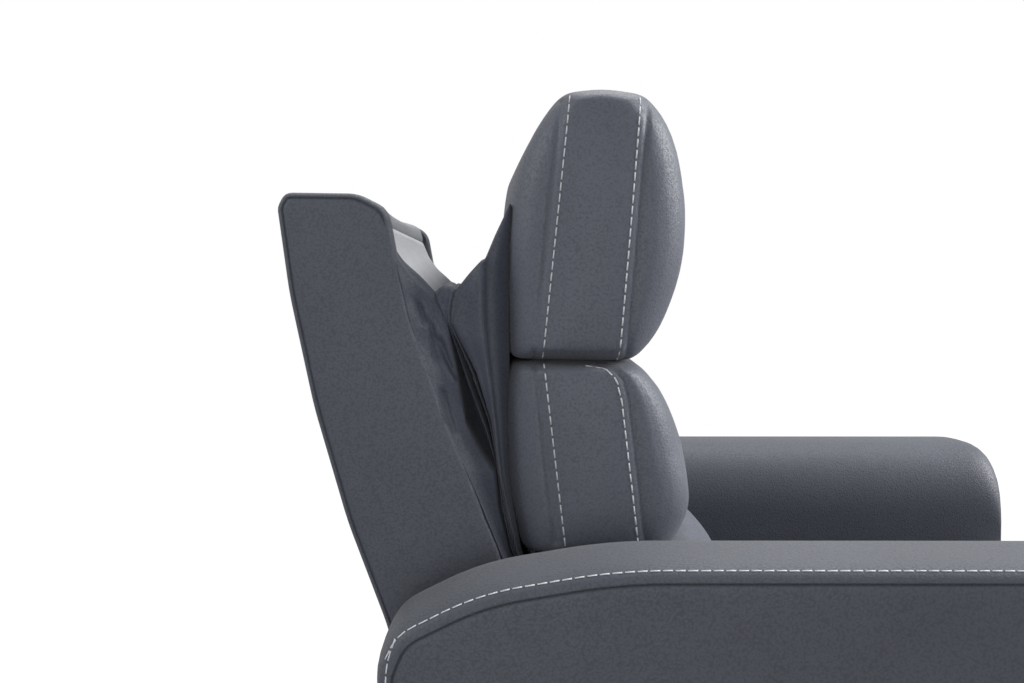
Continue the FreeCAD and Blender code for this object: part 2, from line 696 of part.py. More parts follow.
def back_rear_panel():
    """Rear skin and top roll between the two wings."""
    z_low, z_high = SHELL_REAR_LOW[1] + 6, SHELL_TOP_Z - 1
    skin = [(shell_rear(z_low) + 1, z_low, 0), (shell_rear(z_low) + 1 + REAR_PANEL_THICK, z_low, 0),
            (shell_rear(z_high) + 4 + REAR_PANEL_THICK, z_high - REAR_PANEL_THICK, 0),
            (ROLL_FRONT, z_high - REAR_PANEL_THICK - 12, 8), (ROLL_FRONT - 6, z_high - 8, 12),
            (ROLL_FRONT - 34, z_high, 30), (SHELL_REAR_TOP[0] + 8, z_high, 12),
            *[(f + 1.5, z, r) for f, z, r in SHELL_REAR_EDGE[1:]]]
    return plate(skin, -SHELL_INNER, SHELL_INNER)


def back_depth(z, behind):
    """How far forward a point lies that is behind the shell's front line by that much."""
    return shell_front(z) - behind


def back_frame():
    """Two wooden posts and three rails inside the shell, with the headrest drive's bracket."""
    posts = []
    z_low, z_high = 352.0, 915.0
    for side in SIDES.values():
        outline = [(back_depth(z_low, 62), z_low, 0), (back_depth(z_low, 12), z_low, 0),
                   (back_depth(z_high, 22), z_high, 0), (back_depth(z_high, 60), z_high, 0)]
        post = side_plate(outline, side, POST_INNER, POST_THICK)
        post = post.cut(rod_across(BACK_PIVOT, BACK_PIN_R + FIT, -HALF, HALF))
        posts.append(post)
    rails = []
    for z in (425.0, 895.0):
        front, rear = BACK_RAIL_FRONT, BACK_RAIL_FRONT + 22
        outline = [(back_depth(z - 14, rear), z - 14, 0), (back_depth(z - 14, front), z - 14, 0),
                   (back_depth(z + 14, front), z + 14, 0), (back_depth(z + 14, rear), z + 14, 0)]
        rails.append(plate(outline, -POST_INNER, POST_INNER))
    return group(*posts, *rails)


def back_drive_rail():
    """Steel shelf hung behind the lower rail, with the recline lever below and the headrest drive above."""
    z_low, z_high = 367.0, 438.0
    shelf_top = z_low + 5
    hanger_rear, hanger_front = back_depth(z_high, 66), back_depth(z_high, 59)
    shelf = box(-120, 130, hanger_rear - 30, hanger_front, z_low, shelf_top)
    hangers = [
        box(low, high, hanger_rear, hanger_front, shelf_top, z_high) for low, high in ((-120, -40), (72, 130))
    ]
    plane = RECLINE_DRIVE["x"] + EYE_THICK / 2 + 1
    to_f, to_z = RECLINE_DRIVE["to"]
    lever = plate([(hanger_rear - 14, z_low, 0), (to_f - 14, to_z - 4, 10), (to_f + 4, to_z - 14, 10),
                   (to_f + 14, to_z + 6, 10), (hanger_front, z_low, 0)], plane, plane + LEVER)
    pin = rod_across(RECLINE_DRIVE["to"], PIN_R, RECLINE_DRIVE["x"] - EYE_THICK / 2 - 2, plane + LEVER)
    bracket = drive_bracket(HEAD_DRIVE, HEAD_DRIVE["from"][0], shelf_top)
    return group(shelf, *hangers, fuse(lever, pin), *bracket)


def head_brackets():
    """Steel cheeks on the posts that hold the headrest's hinge shaft."""
    cheeks = []
    f, z = HEAD_PIVOT
    for side in SIDES.values():
        outline = [(f - 70, z - 34, 8), (f - 20, z - 34, 8), (f + 12, z - 10, 9), (f + 12, z + 10, 9),
                   (f - 20, z + 34, 8), (f - 70, z + 34, 8)]
        cheek = side_plate(outline, side, POST_INNER - LINK, LINK)
        cheeks.append(cheek.cut(rod_across(HEAD_PIVOT, HEAD_SHAFT_R + FIT, -HALF, HALF)))
    return group(*cheeks)


def headrest_frame():
    """Hinge shaft with two straps up to the board and the lever that the drive pushes."""
    f, z = HEAD_PIVOT
    half = POST_INNER - 2
    shaft = rod_across(HEAD_PIVOT, HEAD_SHAFT_R, -half, half)
    straps = []
    for side in SIDES.values():
        strap = [(f - 12, z - 11, 9), (f + 12, z - 11, 9), (f + 12, z + 12, 8),
                 (BOARD_BACK, BOARD_LOW - 2, 0), (BOARD_BACK, BOARD_TOP - 30, 0),
                 (BOARD_BACK - 6, BOARD_TOP - 30, 0), (BOARD_BACK - 6, z + 40, 0)]
        straps.append(side_plate(strap, side, 176, LEVER))
    return fuse(shaft, *straps, *drive_lever(HEAD_DRIVE, HEAD_PIVOT, 11))


def headrest_board():
    return box(-BOARD_HALF, BOARD_HALF, BOARD_BACK, BOARD_FRONT, BOARD_LOW, BOARD_TOP)


def head_pillow():
    outline = [(-236, 801, 18), (-118, 799, 14), (-82, 845, 60), (-73, 915, 90), (-86, 985, 80),
               (-112, 1042, 16), (-182, 1045, 16), (-220, 1000, 70), (-236, 930, 60)]
    return cushion(outline, PILLOW_HALF, 22, 0.05, 0.02)


def mid_pillow():
    outline = [(-229, 626, 14), (-110, 624, 24), (-70, 650, 26), (-72, 700, 60), (-96, 765, 60),
               (-124, 796, 14), (-237, 797, 14)]
    return cushion(outline, PILLOW_HALF, 22, 0.05, 0.02)


def lower_pillow():
    outline = [(-184, 526, 14), (-48, 528, 26), (-32, 572, 50), (-52, 620, 24), (-100, 614, 20),
               (-206, 608, 12)]
    return cushion(outline, PILLOW_HALF - 4, 22, 0.05, 0.02)


def gusset():
    """Folded cloth between the shell and the raised upper back: a valley on top and a web on each side."""
    rear, valley, front = (-342.0, 913.0), (-288.0, 869.0), (-239.5, 941.0)
    half, cloth = 229.0, 2.0
    under = (valley[0], valley[1] - cloth, 0)
    rear_slope = plate([(*rear, 0), (rear[0] - 1, rear[1] - cloth, 0), under, (*valley, 0)], -half, half)
    below = (front[0], front[1] - cloth * 1.6, 0)
    front_slope = plate([(*valley, 0), under, below, (*front, 0)], -half, half)
    webs = []
    for side in SIDES.values():
        web = [(*rear, 0), (shell_front(660) + 3, 660, 0), (BOARD_FRONT - 0.5, 660, 0), (*front, 0),
               (*valley, 0)]
        webs.append(side_plate(web, side, half, cloth))
    return group(rear_slope, front_slope, *webs)


def drive_axis(drive):
    start, end = point(drive["x"], *drive["from"]), point(drive["x"], *drive["to"])
    axis = end - start
    return start, end, axis.Length, axis.normalize()


def actuator_housing(drive, tube_end):
    """Fixed part of a linear actuator: eye, gearbox block and outer tube along the line to the rod's eye."""
    start, _, length, axis = drive_axis(drive)
    inner, outer = drive["x"] - EYE_THICK / 2, drive["x"] + EYE_THICK / 2
    eye = rod_across(drive["from"], PIN_R + FIT + EYE_WALL, inner, outer)
    neck = Part.makeCylinder(6.5, 18, start + axis * 8, axis)
    gearbox = Part.makeCylinder(GEARBOX / 2, 34, start + axis * 22, axis)
    tube = Part.makeCylinder(DRIVE_TUBE_R, length * tube_end - 50, start + axis * 50, axis)
    body = fuse(eye, neck, gearbox, tube)
    bore = Part.makeCylinder(DRIVE_ROD_R + 0.3, length * tube_end, start + axis * 62, axis)
    return body.cut(bore).cut(rod_across(drive["from"], PIN_R + FIT, -HALF, HALF))


def actuator_motor(drive):
    """Motor can lying beside the actuator's tube, on its gearbox."""
    start, _, _, axis = drive_axis(drive)
    offset = MOTOR_R + DRIVE_TUBE_R + 3
    foot = start + axis * 56.2 + FreeCAD.Vector(offset, 0, 0)
    can = Part.makeCylinder(MOTOR_R, MOTOR_LENGTH, foot, axis)
    cap = Part.makeCylinder(MOTOR_R - 6, 6, foot + axis * MOTOR_LENGTH, axis)
    carrier = Part.makeCylinder(MOTOR_R - 2, 28, start + axis * 32 + FreeCAD.Vector(offset, 0, 0), axis)
    plug = Part.makeCylinder(GEARBOX / 2 + 0.05, 40, start + axis * 18, axis)
    return fuse(can, cap, carrier.cut(plug))


def actuator_rod(drive, rod_start):
    """Sliding rod with the oversize eye that goes round the lever's pin."""
    start, _, length, axis = drive_axis(drive)
    hole = PIN_R + drive["slack"]
    inner, outer = drive["x"] - EYE_THICK / 2, drive["x"] + EYE_THICK / 2
    eye = rod_across(drive["to"], hole + EYE_WALL, inner, outer)
    shank = length - hole - 26
    rod = Part.makeCylinder(DRIVE_ROD_R, shank - rod_start, start + axis * rod_start, axis)
    neck = Part.makeCylinder(EYE_THICK / 2 - 0.5, 26, start + axis * shank, axis)
    body = fuse(rod, neck, eye)
    return body.cut(rod_across(drive["to"], hole, -HALF, HALF))


def power_supply():
    """Mains adaptor box on the base's rear tube."""
    low = FLOOR_GAP + BASE_TUBE_H
    return box(70, 190, BASE_REAR, BASE_REAR + 62, low, low + 42).cut(mains_inlet_void())


def mains_inlet_void():
    low = FLOOR_GAP + BASE_TUBE_H
    return box(115, 145, BASE_REAR - 1, BASE_REAR + 16, low + 11, low + 31)


def mains_inlet():
    """Two-pin inlet set in the adaptor's rear face."""
    low = FLOOR_GAP + BASE_TUBE_H
    body = box(115.2, 144.8, BASE_REAR + 0.4, BASE_REAR + 15.8, low + 11.2, low + 30.8)
    recess = box(119, 141, BASE_REAR - 1, BASE_REAR + 12, low + 15, low + 27)
    pins = []
    for x in (125, 135):
        pins.append(Part.makeCylinder(1.5, 10, point(x, BASE_REAR + 13, low + 21), FreeCAD.Vector(0, 1, 0)))
    return fuse(body.cut(recess), *pins)


def all_parts():
    parts = {
        "base_frame": base_frame(), "floor_glides": floor_glides(), "stay_pins": stay_pins(),
        "power_supply": power_supply(), "mains_inlet": mains_inlet(),
        "lift_arms": lift_arms(), "stay_arms": stay_arms(),
        "cross_tubes": cross_tubes(), "lift_plates": lift_plates(), "back_brackets": back_brackets(),
        "arm_bolts": arm_bolts(), "seat_frame": seat_frame(), "seat_springs": seat_springs(),
        "seat_cushion": seat_cushion(), "rear_panel": rear_panel(),
        "control_panel": control_panel(), "charging_socket": charging_socket(),
        "footrest_rear_links": footrest_rear_links(), "footrest_front_links": footrest_front_links(),
        "footrest_brackets": footrest_brackets(), "footrest_board": footrest_board(),
        "footrest_pad": footrest_pad(), "back_side_panels": back_side_panels(),
        "back_rear_panel": back_rear_panel(), "back_frame": back_frame(),
        "back_drive_rail": back_drive_rail(), "head_brackets": head_brackets(),
        "back_springs": back_springs(), "lower_pillow": lower_pillow(),
        "headrest_frame": headrest_frame(), "headrest_board": headrest_board(),
        "mid_pillow": mid_pillow(), "head_pillow": head_pillow(), "gusset": gusset(),
    }
    for name, side in SIDES.items():
        parts["seat_rail_" + name] = side_rail(side)
        parts["arm_cover_" + name] = arm_cover(side)
        parts["arm_frame_" + name] = arm_frame(side)
    for name, centre in zip(BUTTON_NAMES, button_centres()):
        parts[name] = button(centre)
    drives = {
        "lift": (LIFT_DRIVE, 0.62, 150), "recline": (RECLINE_DRIVE, 0.55, 150),
        "foot": (FOOT_DRIVE, 0.62, 90), "head": (HEAD_DRIVE, 0.72, 90),
    }
    for name, (drive, tube_end, rod_start) in drives.items():
        parts[name + "_actuator"] = actuator_housing(drive, tube_end)
        parts[name + "_motor"] = actuator_motor(drive)
        parts[name + "_rod"] = actuator_rod(drive, rod_start)
    return parts


def main():
    os.makedirs("parts", exist_ok=True)
    for name, shape in all_parts().items():
        solids = shape.Solids
        volume = sum(s.Volume for s in solids)
        state = "valid" if shape.isValid() else "INVALID"
        print(name, len(solids), "solids", round(volume / 1000), "cm3", state)
        shape.exportStep("parts/" + name + ".step")


main()
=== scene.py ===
"""Looks of the power lift recliner: upholstery, stitching, folded cloth, finishes, studio and camera.

Sizes are in millimetres as (x, f, z): x across the chair, f forward, z up.
"""

import json
import math

import bmesh
import bpy
import numpy as np
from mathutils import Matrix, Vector
from mathutils.bvhtree import BVHTree


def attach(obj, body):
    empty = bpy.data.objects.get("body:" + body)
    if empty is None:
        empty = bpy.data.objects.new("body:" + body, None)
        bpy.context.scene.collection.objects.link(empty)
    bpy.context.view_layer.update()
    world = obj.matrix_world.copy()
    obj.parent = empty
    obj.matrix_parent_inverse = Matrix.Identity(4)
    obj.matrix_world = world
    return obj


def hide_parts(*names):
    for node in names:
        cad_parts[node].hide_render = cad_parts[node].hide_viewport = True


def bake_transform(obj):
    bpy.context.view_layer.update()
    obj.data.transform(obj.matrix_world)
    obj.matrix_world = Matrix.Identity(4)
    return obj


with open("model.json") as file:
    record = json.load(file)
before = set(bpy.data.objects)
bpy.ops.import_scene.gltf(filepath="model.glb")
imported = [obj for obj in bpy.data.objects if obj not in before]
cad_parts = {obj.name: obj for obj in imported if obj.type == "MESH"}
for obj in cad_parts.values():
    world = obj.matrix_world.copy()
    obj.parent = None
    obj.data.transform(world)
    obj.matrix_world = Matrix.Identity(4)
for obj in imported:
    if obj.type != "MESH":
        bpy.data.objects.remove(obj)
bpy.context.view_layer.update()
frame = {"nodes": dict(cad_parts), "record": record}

# Sizes shared with the construction
HALF = 425.0
ARM_INNER = 265.0
ARM_CENTRE = (HALF + ARM_INNER) / 2
ARM_TOP = 650.0
ARM_FRONT, ARM_REAR, ARM_FOOT = 438.0, -346.0, 30.0
WING_INNER, WING_OUTER = 236.0, 260.0
SHELL_FRONT_TOP, SHELL_FRONT_LOW = (-356.0, 945.0), (-148.0, 350.0)
SHELL_REAR_TOP, SHELL_REAR_LOW = (-450.0, 941.0), (-290.0, 335.0)
SHELL_TOP = 955.0
PILLOW_HALF = 258.0
PANEL_CENTRE, PANEL_RECESS = (300.0, 470.0), (75.5, 31.5)


# Outlines in side view

FEWEST_POINTS = 24
CORNER_STEPS, CORNER_SHARE = 13, 0.48
CURVE_STEPS, SMOOTH_PASSES = 12, 3


def metres(x, f, z):
    return Vector((x / 1000, -f / 1000, z / 1000))


def shell_front(z):
    """How far forward the shell's front line lies at a height."""
    run = (SHELL_FRONT_LOW[0] - SHELL_FRONT_TOP[0]) / (SHELL_FRONT_TOP[1] - SHELL_FRONT_LOW[1])
    return SHELL_FRONT_TOP[0] + (SHELL_FRONT_TOP[1] - z) * run


def even_points(pts, step):
    """Evenly spaced points round a closed line."""
    gaps = np.linalg.norm(np.roll(pts, -1, axis=0) - pts, axis=1)
    along = np.concatenate([[0], np.cumsum(gaps)])
    count = max(FEWEST_POINTS, int(along[-1] / step))
    even = np.linspace(0, along[-1], count, endpoint=False)
    closed = np.vstack([pts, pts[:1]])
    return np.column_stack([np.interp(even, along, closed[:, k]) for k in range(2)])


def round_outline(corners, step):
    """Points round a closed outline of corners (f, z, radius)."""
    pts = []
    for i, (f, z, radius) in enumerate(corners):
        p = np.array((f, z), float)
        to_before = np.array(corners[i - 1][:2]) - p
        to_after = np.array(corners[(i + 1) % len(corners)][:2]) - p
        longest = CORNER_SHARE * min(np.linalg.norm(to_before), np.linalg.norm(to_after))
        to_before /= np.linalg.norm(to_before)
        to_after /= np.linalg.norm(to_after)
        half_angle = math.acos(np.clip(to_before @ to_after, -1, 1)) / 2
        reach = min(radius / math.tan(half_angle), longest)
        for t in np.linspace(0, 1, CORNER_STEPS):
            pts.append((1 - t) ** 2 * (p + to_before * reach) + 2 * t * (1 - t) * p
                       + t ** 2 * (p + to_after * reach))
    return even_points(np.array(pts), step)


def smooth_outline(marks, step):
    """Points round a closed outline: a smooth curve through marks (f, z, corner or not)."""
    first = next(i for i, mark in enumerate(marks) if mark[2])
    marks = marks[first:] + marks[:first]
    runs, run = [], [marks[0]]
    for mark in marks[1:] + marks[:1]:
        run.append(mark)
        if mark[2]:
            runs.append(np.array([m[:2] for m in run], float))
            run = [mark]
    pts = []
    for p in runs:
        q = np.vstack([2 * p[0] - p[1], p, 2 * p[-1] - p[-2]])
        for i in range(1, len(q) - 2):
            a, b, c, d = q[i - 1:i + 3]
            for t in np.linspace(0, 1, CURVE_STEPS, endpoint=False):
                pts.append(0.5 * (2 * b + (c - a) * t + (2 * a - 5 * b + 4 * c - d) * t ** 2
                                  + (3 * b - a - 3 * c + d) * t ** 3))
    pts = even_points(np.array(pts), step)
    for _ in range(SMOOTH_PASSES):
        pts = (np.roll(pts, 1, axis=0) + 2 * pts + np.roll(pts, -1, axis=0)) / 4
    return pts


def line_distance(pts, line):
    """Distance from side-view points to a polyline."""
    best = np.full(len(pts), 1e9)
    for a, b in zip(line[:-1], line[1:]):
        a, b = np.array(a, float), np.array(b, float)
        d = b - a
        t = np.clip(((pts - a) @ d) / (d @ d), 0, 1)
        best = np.minimum(best, np.linalg.norm(pts - (a + t[:, None] * d), axis=1))
    return best


# Rings and meshes

CROWN_STEPS, CROWN_LIFT = 9, 0.35
ROUND_STEPS = 8
MERGE_DISTANCE = 1e-6


def new_piece(name, verts, faces, material):
    """Smooth-shaded mesh object from points in millimetres, its faces turned outwards."""
    mesh = bpy.data.meshes.new(name)
    mesh.from_pydata([metres(*v) for v in verts], [], faces)
    bm = bmesh.new()
    bm.from_mesh(mesh)
    bmesh.ops.remove_doubles(bm, verts=bm.verts, dist=MERGE_DISTANCE)
    bmesh.ops.recalc_face_normals(bm, faces=bm.faces)
    bm.to_mesh(mesh)
    bm.free()
    mesh.polygons.foreach_set("use_smooth", [True] * len(mesh.polygons))
    piece = bpy.data.objects.new(name, mesh)
    bpy.context.scene.collection.objects.link(piece)
    mesh.materials.append(material)
    return piece


def loft(name, rings, material):
    """Skin through rings of equal point counts, with both ends closed."""
    count = len(rings[0])
    verts = [tuple(p) for ring in rings for p in ring]
    faces = []
    for r in range(len(rings) - 1):
        here, beyond = r * count, (r + 1) * count
        for i in range(count):
            j = (i + 1) % count
            faces.append((here + i, here + j, beyond + j, beyond + i))
    for r in (0, len(rings) - 1):
        centre = len(verts)
        verts.append(tuple(np.mean(rings[r], axis=0)))
        faces += [(centre, r * count + i, r * count + (i + 1) % count) for i in range(count)]
    return new_piece(name, verts, faces, material)


def grid_faces(rows, columns):
    """Faces of a cloth whose points run row by row."""
    return [(a, a + 1, a + columns + 1, a + columns)
            for k in range(rows - 1) for a in range(k * columns, (k + 1) * columns - 1)]


def drawn_ring(points, x, inset_f, inset_z):
    """The outline at one station across the chair, drawn in from its edges."""
    low, high = points.min(axis=0), points.max(axis=0)
    mid, half = (low + high) / 2, (high - low) / 2
    scale = 1 - np.array([inset_f, inset_z]) / half
    moved = mid + (points - mid) * scale
    return np.column_stack([np.full(len(points), x), moved])


def offset_ring(points, x, inset):
    """The outline at one station across the chair, moved inwards by an even distance."""
    ahead = np.roll(points, -1, axis=0) - np.roll(points, 1, axis=0)
    normal = np.column_stack([-ahead[:, 1], ahead[:, 0]]) / np.linalg.norm(ahead, axis=1)[:, None]
    after = np.roll(points, -1, axis=0)
    area = np.sum(points[:, 0] * after[:, 1] - after[:, 0] * points[:, 1])
    moved = points + normal * (inset if area > 0 else -inset)
    return np.column_stack([np.full(len(points), x), moved])


def closing_rings(ring, shares, puff):
    """Rings that close a side panel inwards from its edge."""
    centre = ring[:, 1:].mean(axis=0)
    rings = []
    for share in shares:
        closed = ring.copy()
        closed[:, 1:] += (centre - closed[:, 1:]) * share
        closed[:, 0] += puff * (1 - (1 - share) ** 2)
        rings.append(closed)
    return rings


def padded_rings(points, profile, panel, puff):
    """Rings from one side to the other. profile gives (distance from the middle, inset f, inset z) up
    to the side panel, panel the shares by which it closes in, and puff how far it stands out."""
    half = list(profile)
    low, high = points.min(axis=0), points.max(axis=0)
    size_f, size_z = (high - low) / 2
    w_end, f_end, z_end = half[-1]
    for share in panel:
        swell = puff * (1 - (1 - share) ** 2)
        half.append((w_end + swell, f_end + (size_f - f_end) * share,
                     z_end + (size_z - z_end) * share))
    rings = [drawn_ring(points, -w, a, b) for w, a, b in reversed(half[1:])]
    rings += [drawn_ring(points, w, a, b) for w, a, b in half]
    return rings


def rounded_profile(half, round_x, round_f, round_z, crown):
    """Cross-section of a pad: crowned in the middle, then rounded over to its side panel."""
    profile = []
    for t in np.linspace(0, 1, CROWN_STEPS):
        rise = 1 - t ** 2
        profile.append((t * (half - round_x), -crown * rise, -crown * CROWN_LIFT * rise))
    for k in range(1, ROUND_STEPS + 1):
        a = math.pi / 2 * k / ROUND_STEPS
        profile.append((half - round_x * (1 - math.sin(a)), round_f * (1 - math.cos(a)),
                        round_z * math.sin(a) ** 2))
    return profile


# Finishes

# Colour sockets of a Mix node
MIX_A, MIX_B, MIX_RESULT = 6, 7, 2
GRAIN_RELIEF, SPECKLE_RELIEF, WOOD_RELIEF = 0.0006, 0.0004, 0.0005


def node(tree, kind, links=(), **values):
    """Adds a node, sets its properties and sockets, and links (socket, source) pairs into it."""
    made = tree.nodes.new(kind)
    for key, value in values.items():
        if hasattr(made, key):
            setattr(made, key, value)
        else:
            made.inputs[key.replace("_", " ")].default_value = value
    for socket, source in links:
        tree.links.new(source, made.inputs[socket])
    return made


def remap(tree, source, to, span=(0.0, 1.0)):
    """A value socket moved from one span to another."""
    made = node(tree, "ShaderNodeMapRange", [("Value", source)])
    for label, value in zip(("From Min", "From Max", "To Min", "To Max"), (*span, *to)):
        made.inputs[label].default_value = value
    return made.outputs[0]


def multiplied(tree, first, second):
    return node(tree, "ShaderNodeMath", [(0, first), (1, second)], operation="MULTIPLY").outputs[0]


def scaled_colour(tree, colour, strength):
    """A colour multiplied by a value socket."""
    dye = node(tree, "ShaderNodeVectorMath", [("Scale", strength)], operation="SCALE")
    dye.inputs[0].default_value = colour
    return dye.outputs[0]


def group_tree(name, scale_label, scale, outputs):
    """Shader group with one scale to set, whose outputs are values."""
    tree = bpy.data.node_groups.new(name, "ShaderNodeTree")
    socket = tree.interface.new_socket(scale_label, in_out="INPUT", socket_type="NodeSocketFloat")
    socket.default_value = scale
    for label in outputs:
        tree.interface.new_socket(label, in_out="OUTPUT", socket_type="NodeSocketFloat")
    entry, out = tree.nodes.new("NodeGroupInput"), tree.nodes.new("NodeGroupOutput")
    place = node(tree, "ShaderNodeTexCoord").outputs["Object"]
    return tree, entry.outputs[scale_label], place, out


def pebble_grain_group():
    """Fine pebbled hide: a height, a mask of the valleys between its cells and slow clouds of tone."""
    values = ("Height", "Valleys", "Cloud")
    tree, scale, place, out = group_tree("pebble_grain", "Scale", 700.0, values)
    cells = node(tree, "ShaderNodeTexVoronoi", [("Vector", place), ("Scale", scale)],
                 feature="SMOOTH_F1", Smoothness=0.6).outputs["Distance"]
    specks = node(tree, "ShaderNodeTexNoise", [("Vector", place)], Scale=1300.0, Detail=2.0)
    height = node(tree, "ShaderNodeMath", [(0, cells), (1, specks.outputs["Fac"])], operation="ADD")
    cloud = node(tree, "ShaderNodeTexNoise", [("Vector", place)], Scale=9.0, Detail=4.0, Roughness=0.6)
    tree.links.new(height.outputs[0], out.inputs["Height"])
    tree.links.new(remap(tree, cells, (0, 1), span=(0.35, 0.75)), out.inputs["Valleys"])
    tree.links.new(cloud.outputs["Fac"], out.inputs["Cloud"])
    return tree


def edge_wear_group():
    """Rubbed edges and light scuffs as a mask, and a fine speckle."""
    tree, scale, place, out = group_tree("edge_wear", "Scuff Scale", 60.0, ("Wear", "Speckle"))
    scuffs = node(tree, "ShaderNodeTexNoise", [("Vector", place), ("Scale", scale)],
                  Detail=6.0, Roughness=0.7)
    pointed = node(tree, "ShaderNodeNewGeometry").outputs["Pointiness"]
    edge = remap(tree, pointed, (0, 1), span=(0.52, 0.6))
    fine = node(tree, "ShaderNodeTexNoise", [("Vector", place)], Scale=900.0, Detail=2.0)
    tree.links.new(multiplied(tree, edge, scuffs.outputs["Fac"]), out.inputs["Wear"])
    tree.links.new(fine.outputs["Fac"], out.inputs["Speckle"])
    return tree


PEBBLE_GRAIN = pebble_grain_group()
EDGE_WEAR = edge_wear_group()


def new_material(name):
    material = bpy.data.materials.new(name)
    material.use_nodes = True
    return material, material.node_tree, material.node_tree.nodes["Principled BSDF"]


def add_relief(tree, shader, height, strength, distance):
    relief = node(tree, "ShaderNodeBump", [("Height", height)], Strength=strength, Distance=distance)
    tree.links.new(relief.outputs[0], shader.inputs["Normal"])


def upholstery(name, colour, grain_scale=480.0, bump=0.5, rough=(0.44, 0.60), painted_highlight_colour=None):
    """Dyed hide or cloth, with a pale painted highlight mixed in where the piece's point attribute
    asks for it.
    """
    material, tree, shader = new_material(name)
    grain = node(tree, "ShaderNodeGroup", node_tree=PEBBLE_GRAIN)
    grain.inputs["Scale"].default_value = grain_scale
    tone = remap(tree, grain.outputs["Cloud"], (0.84, 1.16))
    shade = remap(tree, grain.outputs["Valleys"], (1.06, 0.86))
    strength = multiplied(tree, tone, shade)
    dye = scaled_colour(tree, colour, strength)
    if painted_highlight_colour:
        # Painted highlight: the pale colour stands in for light catching the cloth, mixed in per
        # point.
        painted_highlight = node(tree, "ShaderNodeAttribute", attribute_name="painted_highlight")
        highlighted = node(tree, "ShaderNodeMix", [("Factor", painted_highlight.outputs["Fac"])], data_type="RGBA")
        tree.links.new(dye, highlighted.inputs[MIX_A])
        tree.links.new(scaled_colour(tree, painted_highlight_colour, strength), highlighted.inputs[MIX_B])
        dye = highlighted.outputs[MIX_RESULT]
    tree.links.new(dye, shader.inputs["Base Color"])
    tree.links.new(remap(tree, grain.outputs["Valleys"], rough), shader.inputs["Roughness"])
    add_relief(tree, shader, grain.outputs["Height"], bump, GRAIN_RELIEF)
    shader.inputs["Sheen Weight"].default_value = 0.12
    shader.inputs["Sheen Roughness"].default_value = 0.5
    shader.inputs["Specular IOR Level"].default_value = 0.35
    return material


def hard_finish(name, colour, worn_colour, rough, metallic=0.0, bump=0.08):
    """Paint, plating, plastic or rubber with rubbed edges."""
    material, tree, shader = new_material(name)
    wear = node(tree, "ShaderNodeGroup", node_tree=EDGE_WEAR)
    paint = node(tree, "ShaderNodeMix", [("Factor", wear.outputs["Wear"])], data_type="RGBA")
    paint.inputs[MIX_A].default_value = (*colour, 1)
    paint.inputs[MIX_B].default_value = (*worn_colour, 1)
    tree.links.new(paint.outputs[MIX_RESULT], shader.inputs["Base Color"])
    tree.links.new(remap(tree, wear.outputs["Speckle"], rough), shader.inputs["Roughness"])
    add_relief(tree, shader, wear.outputs["Speckle"], bump, SPECKLE_RELIEF)
    shader.inputs["Metallic"].default_value = metallic
    return material


def plywood_finish():
    material, tree, shader = new_material("plywood")
    place = node(tree, "ShaderNodeTexCoord")
    stretch = node(tree, "ShaderNodeMapping", [("Vector", place.outputs["Object"])])
    stretch.inputs["Scale"].default_value = (60, 8, 60)
    figure = node(tree, "ShaderNodeTexNoise", [("Vector", stretch.outputs[0])],
                  Scale=2.0, Detail=6.0, Distortion=0.8).outputs["Fac"]
    tones = node(tree, "ShaderNodeValToRGB", [("Fac", figure)])
    tones.color_ramp.elements[0].color = (0.36, 0.23, 0.12, 1)
    tones.color_ramp.elements[1].color = (0.62, 0.45, 0.27, 1)
    tree.links.new(tones.outputs[0], shader.inputs["Base Color"])
    add_relief(tree, shader, figure, 0.2, WOOD_RELIEF)
    shader.inputs["Roughness"].default_value = 0.62
    return material


# Pale colour painted on as a highlight where the light catches the top roll and the top of the gusset
# cloth.
PAINTED_HIGHLIGHT_TONE = (0.80, 0.81, 0.85)
SLATE = upholstery("slate_upholstery", (0.080, 0.088, 0.110), painted_highlight_colour=PAINTED_HIGHLIGHT_TONE)
# Darker copy of the slate upholstery, standing in for shade on the arms.
SLATE_ARM_SHADED = upholstery("slate_arm_cover_shaded", (0.071, 0.078, 0.098), bump=0.42)
# Lighter copy of the slate upholstery, painted light on the pillows.
SLATE_PILLOW_LIT = upholstery("slate_pillow_cover_lit", (0.101, 0.110, 0.137), bump=0.32)
SLATE_LINING = upholstery("slate_gusset_cloth", (0.062, 0.070, 0.094), bump=0.25, painted_highlight_colour=PAINTED_HIGHLIGHT_TONE)
THREAD = upholstery("pale_thread", (0.62, 0.63, 0.66), grain_scale=2500.0, bump=0.3, rough=(0.6, 0.8))
BLACK_COAT = hard_finish("black_powder_coat", (0.018, 0.018, 0.02), (0.09, 0.09, 0.09), (0.42, 0.62),
                         bump=0.25)
ZINC = hard_finish("zinc_plate", (0.55, 0.56, 0.58), (0.4, 0.4, 0.41), (0.25, 0.42), metallic=1.0)
GROUND_STEEL = hard_finish("ground_steel", (0.62, 0.62, 0.64), (0.5, 0.5, 0.5), (0.12, 0.24),
                           metallic=1.0)
BLACK_PLASTIC = hard_finish("black_moulding", (0.022, 0.022, 0.024), (0.05, 0.05, 0.05), (0.45, 0.6),
                            bump=0.15)
KEY_PLASTIC = hard_finish("key_moulding", (0.075, 0.075, 0.08), (0.13, 0.13, 0.13), (0.38, 0.5),
                          bump=0.1)
GLIDE_RUBBER = hard_finish("glide_rubber", (0.02, 0.02, 0.02), (0.05, 0.05, 0.05), (0.7, 0.9),
                           bump=0.3)
PLYWOOD = plywood_finish()


# Padding

PUFF_FRAMES = 20
PUFF_CLOTH = {"quality": 5, "mass": 0.3, "tension_stiffness": 15, "compression_stiffness": 15,
              "bending_stiffness": 0.5, "use_pressure": True, "vertex_group_mass": "seams"}
SEAM_HOLD = 4.5
CLOTH_THICKNESS = 0.0012


def finish_soft(piece, body, node_name):
    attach(piece, body)
    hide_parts(node_name)


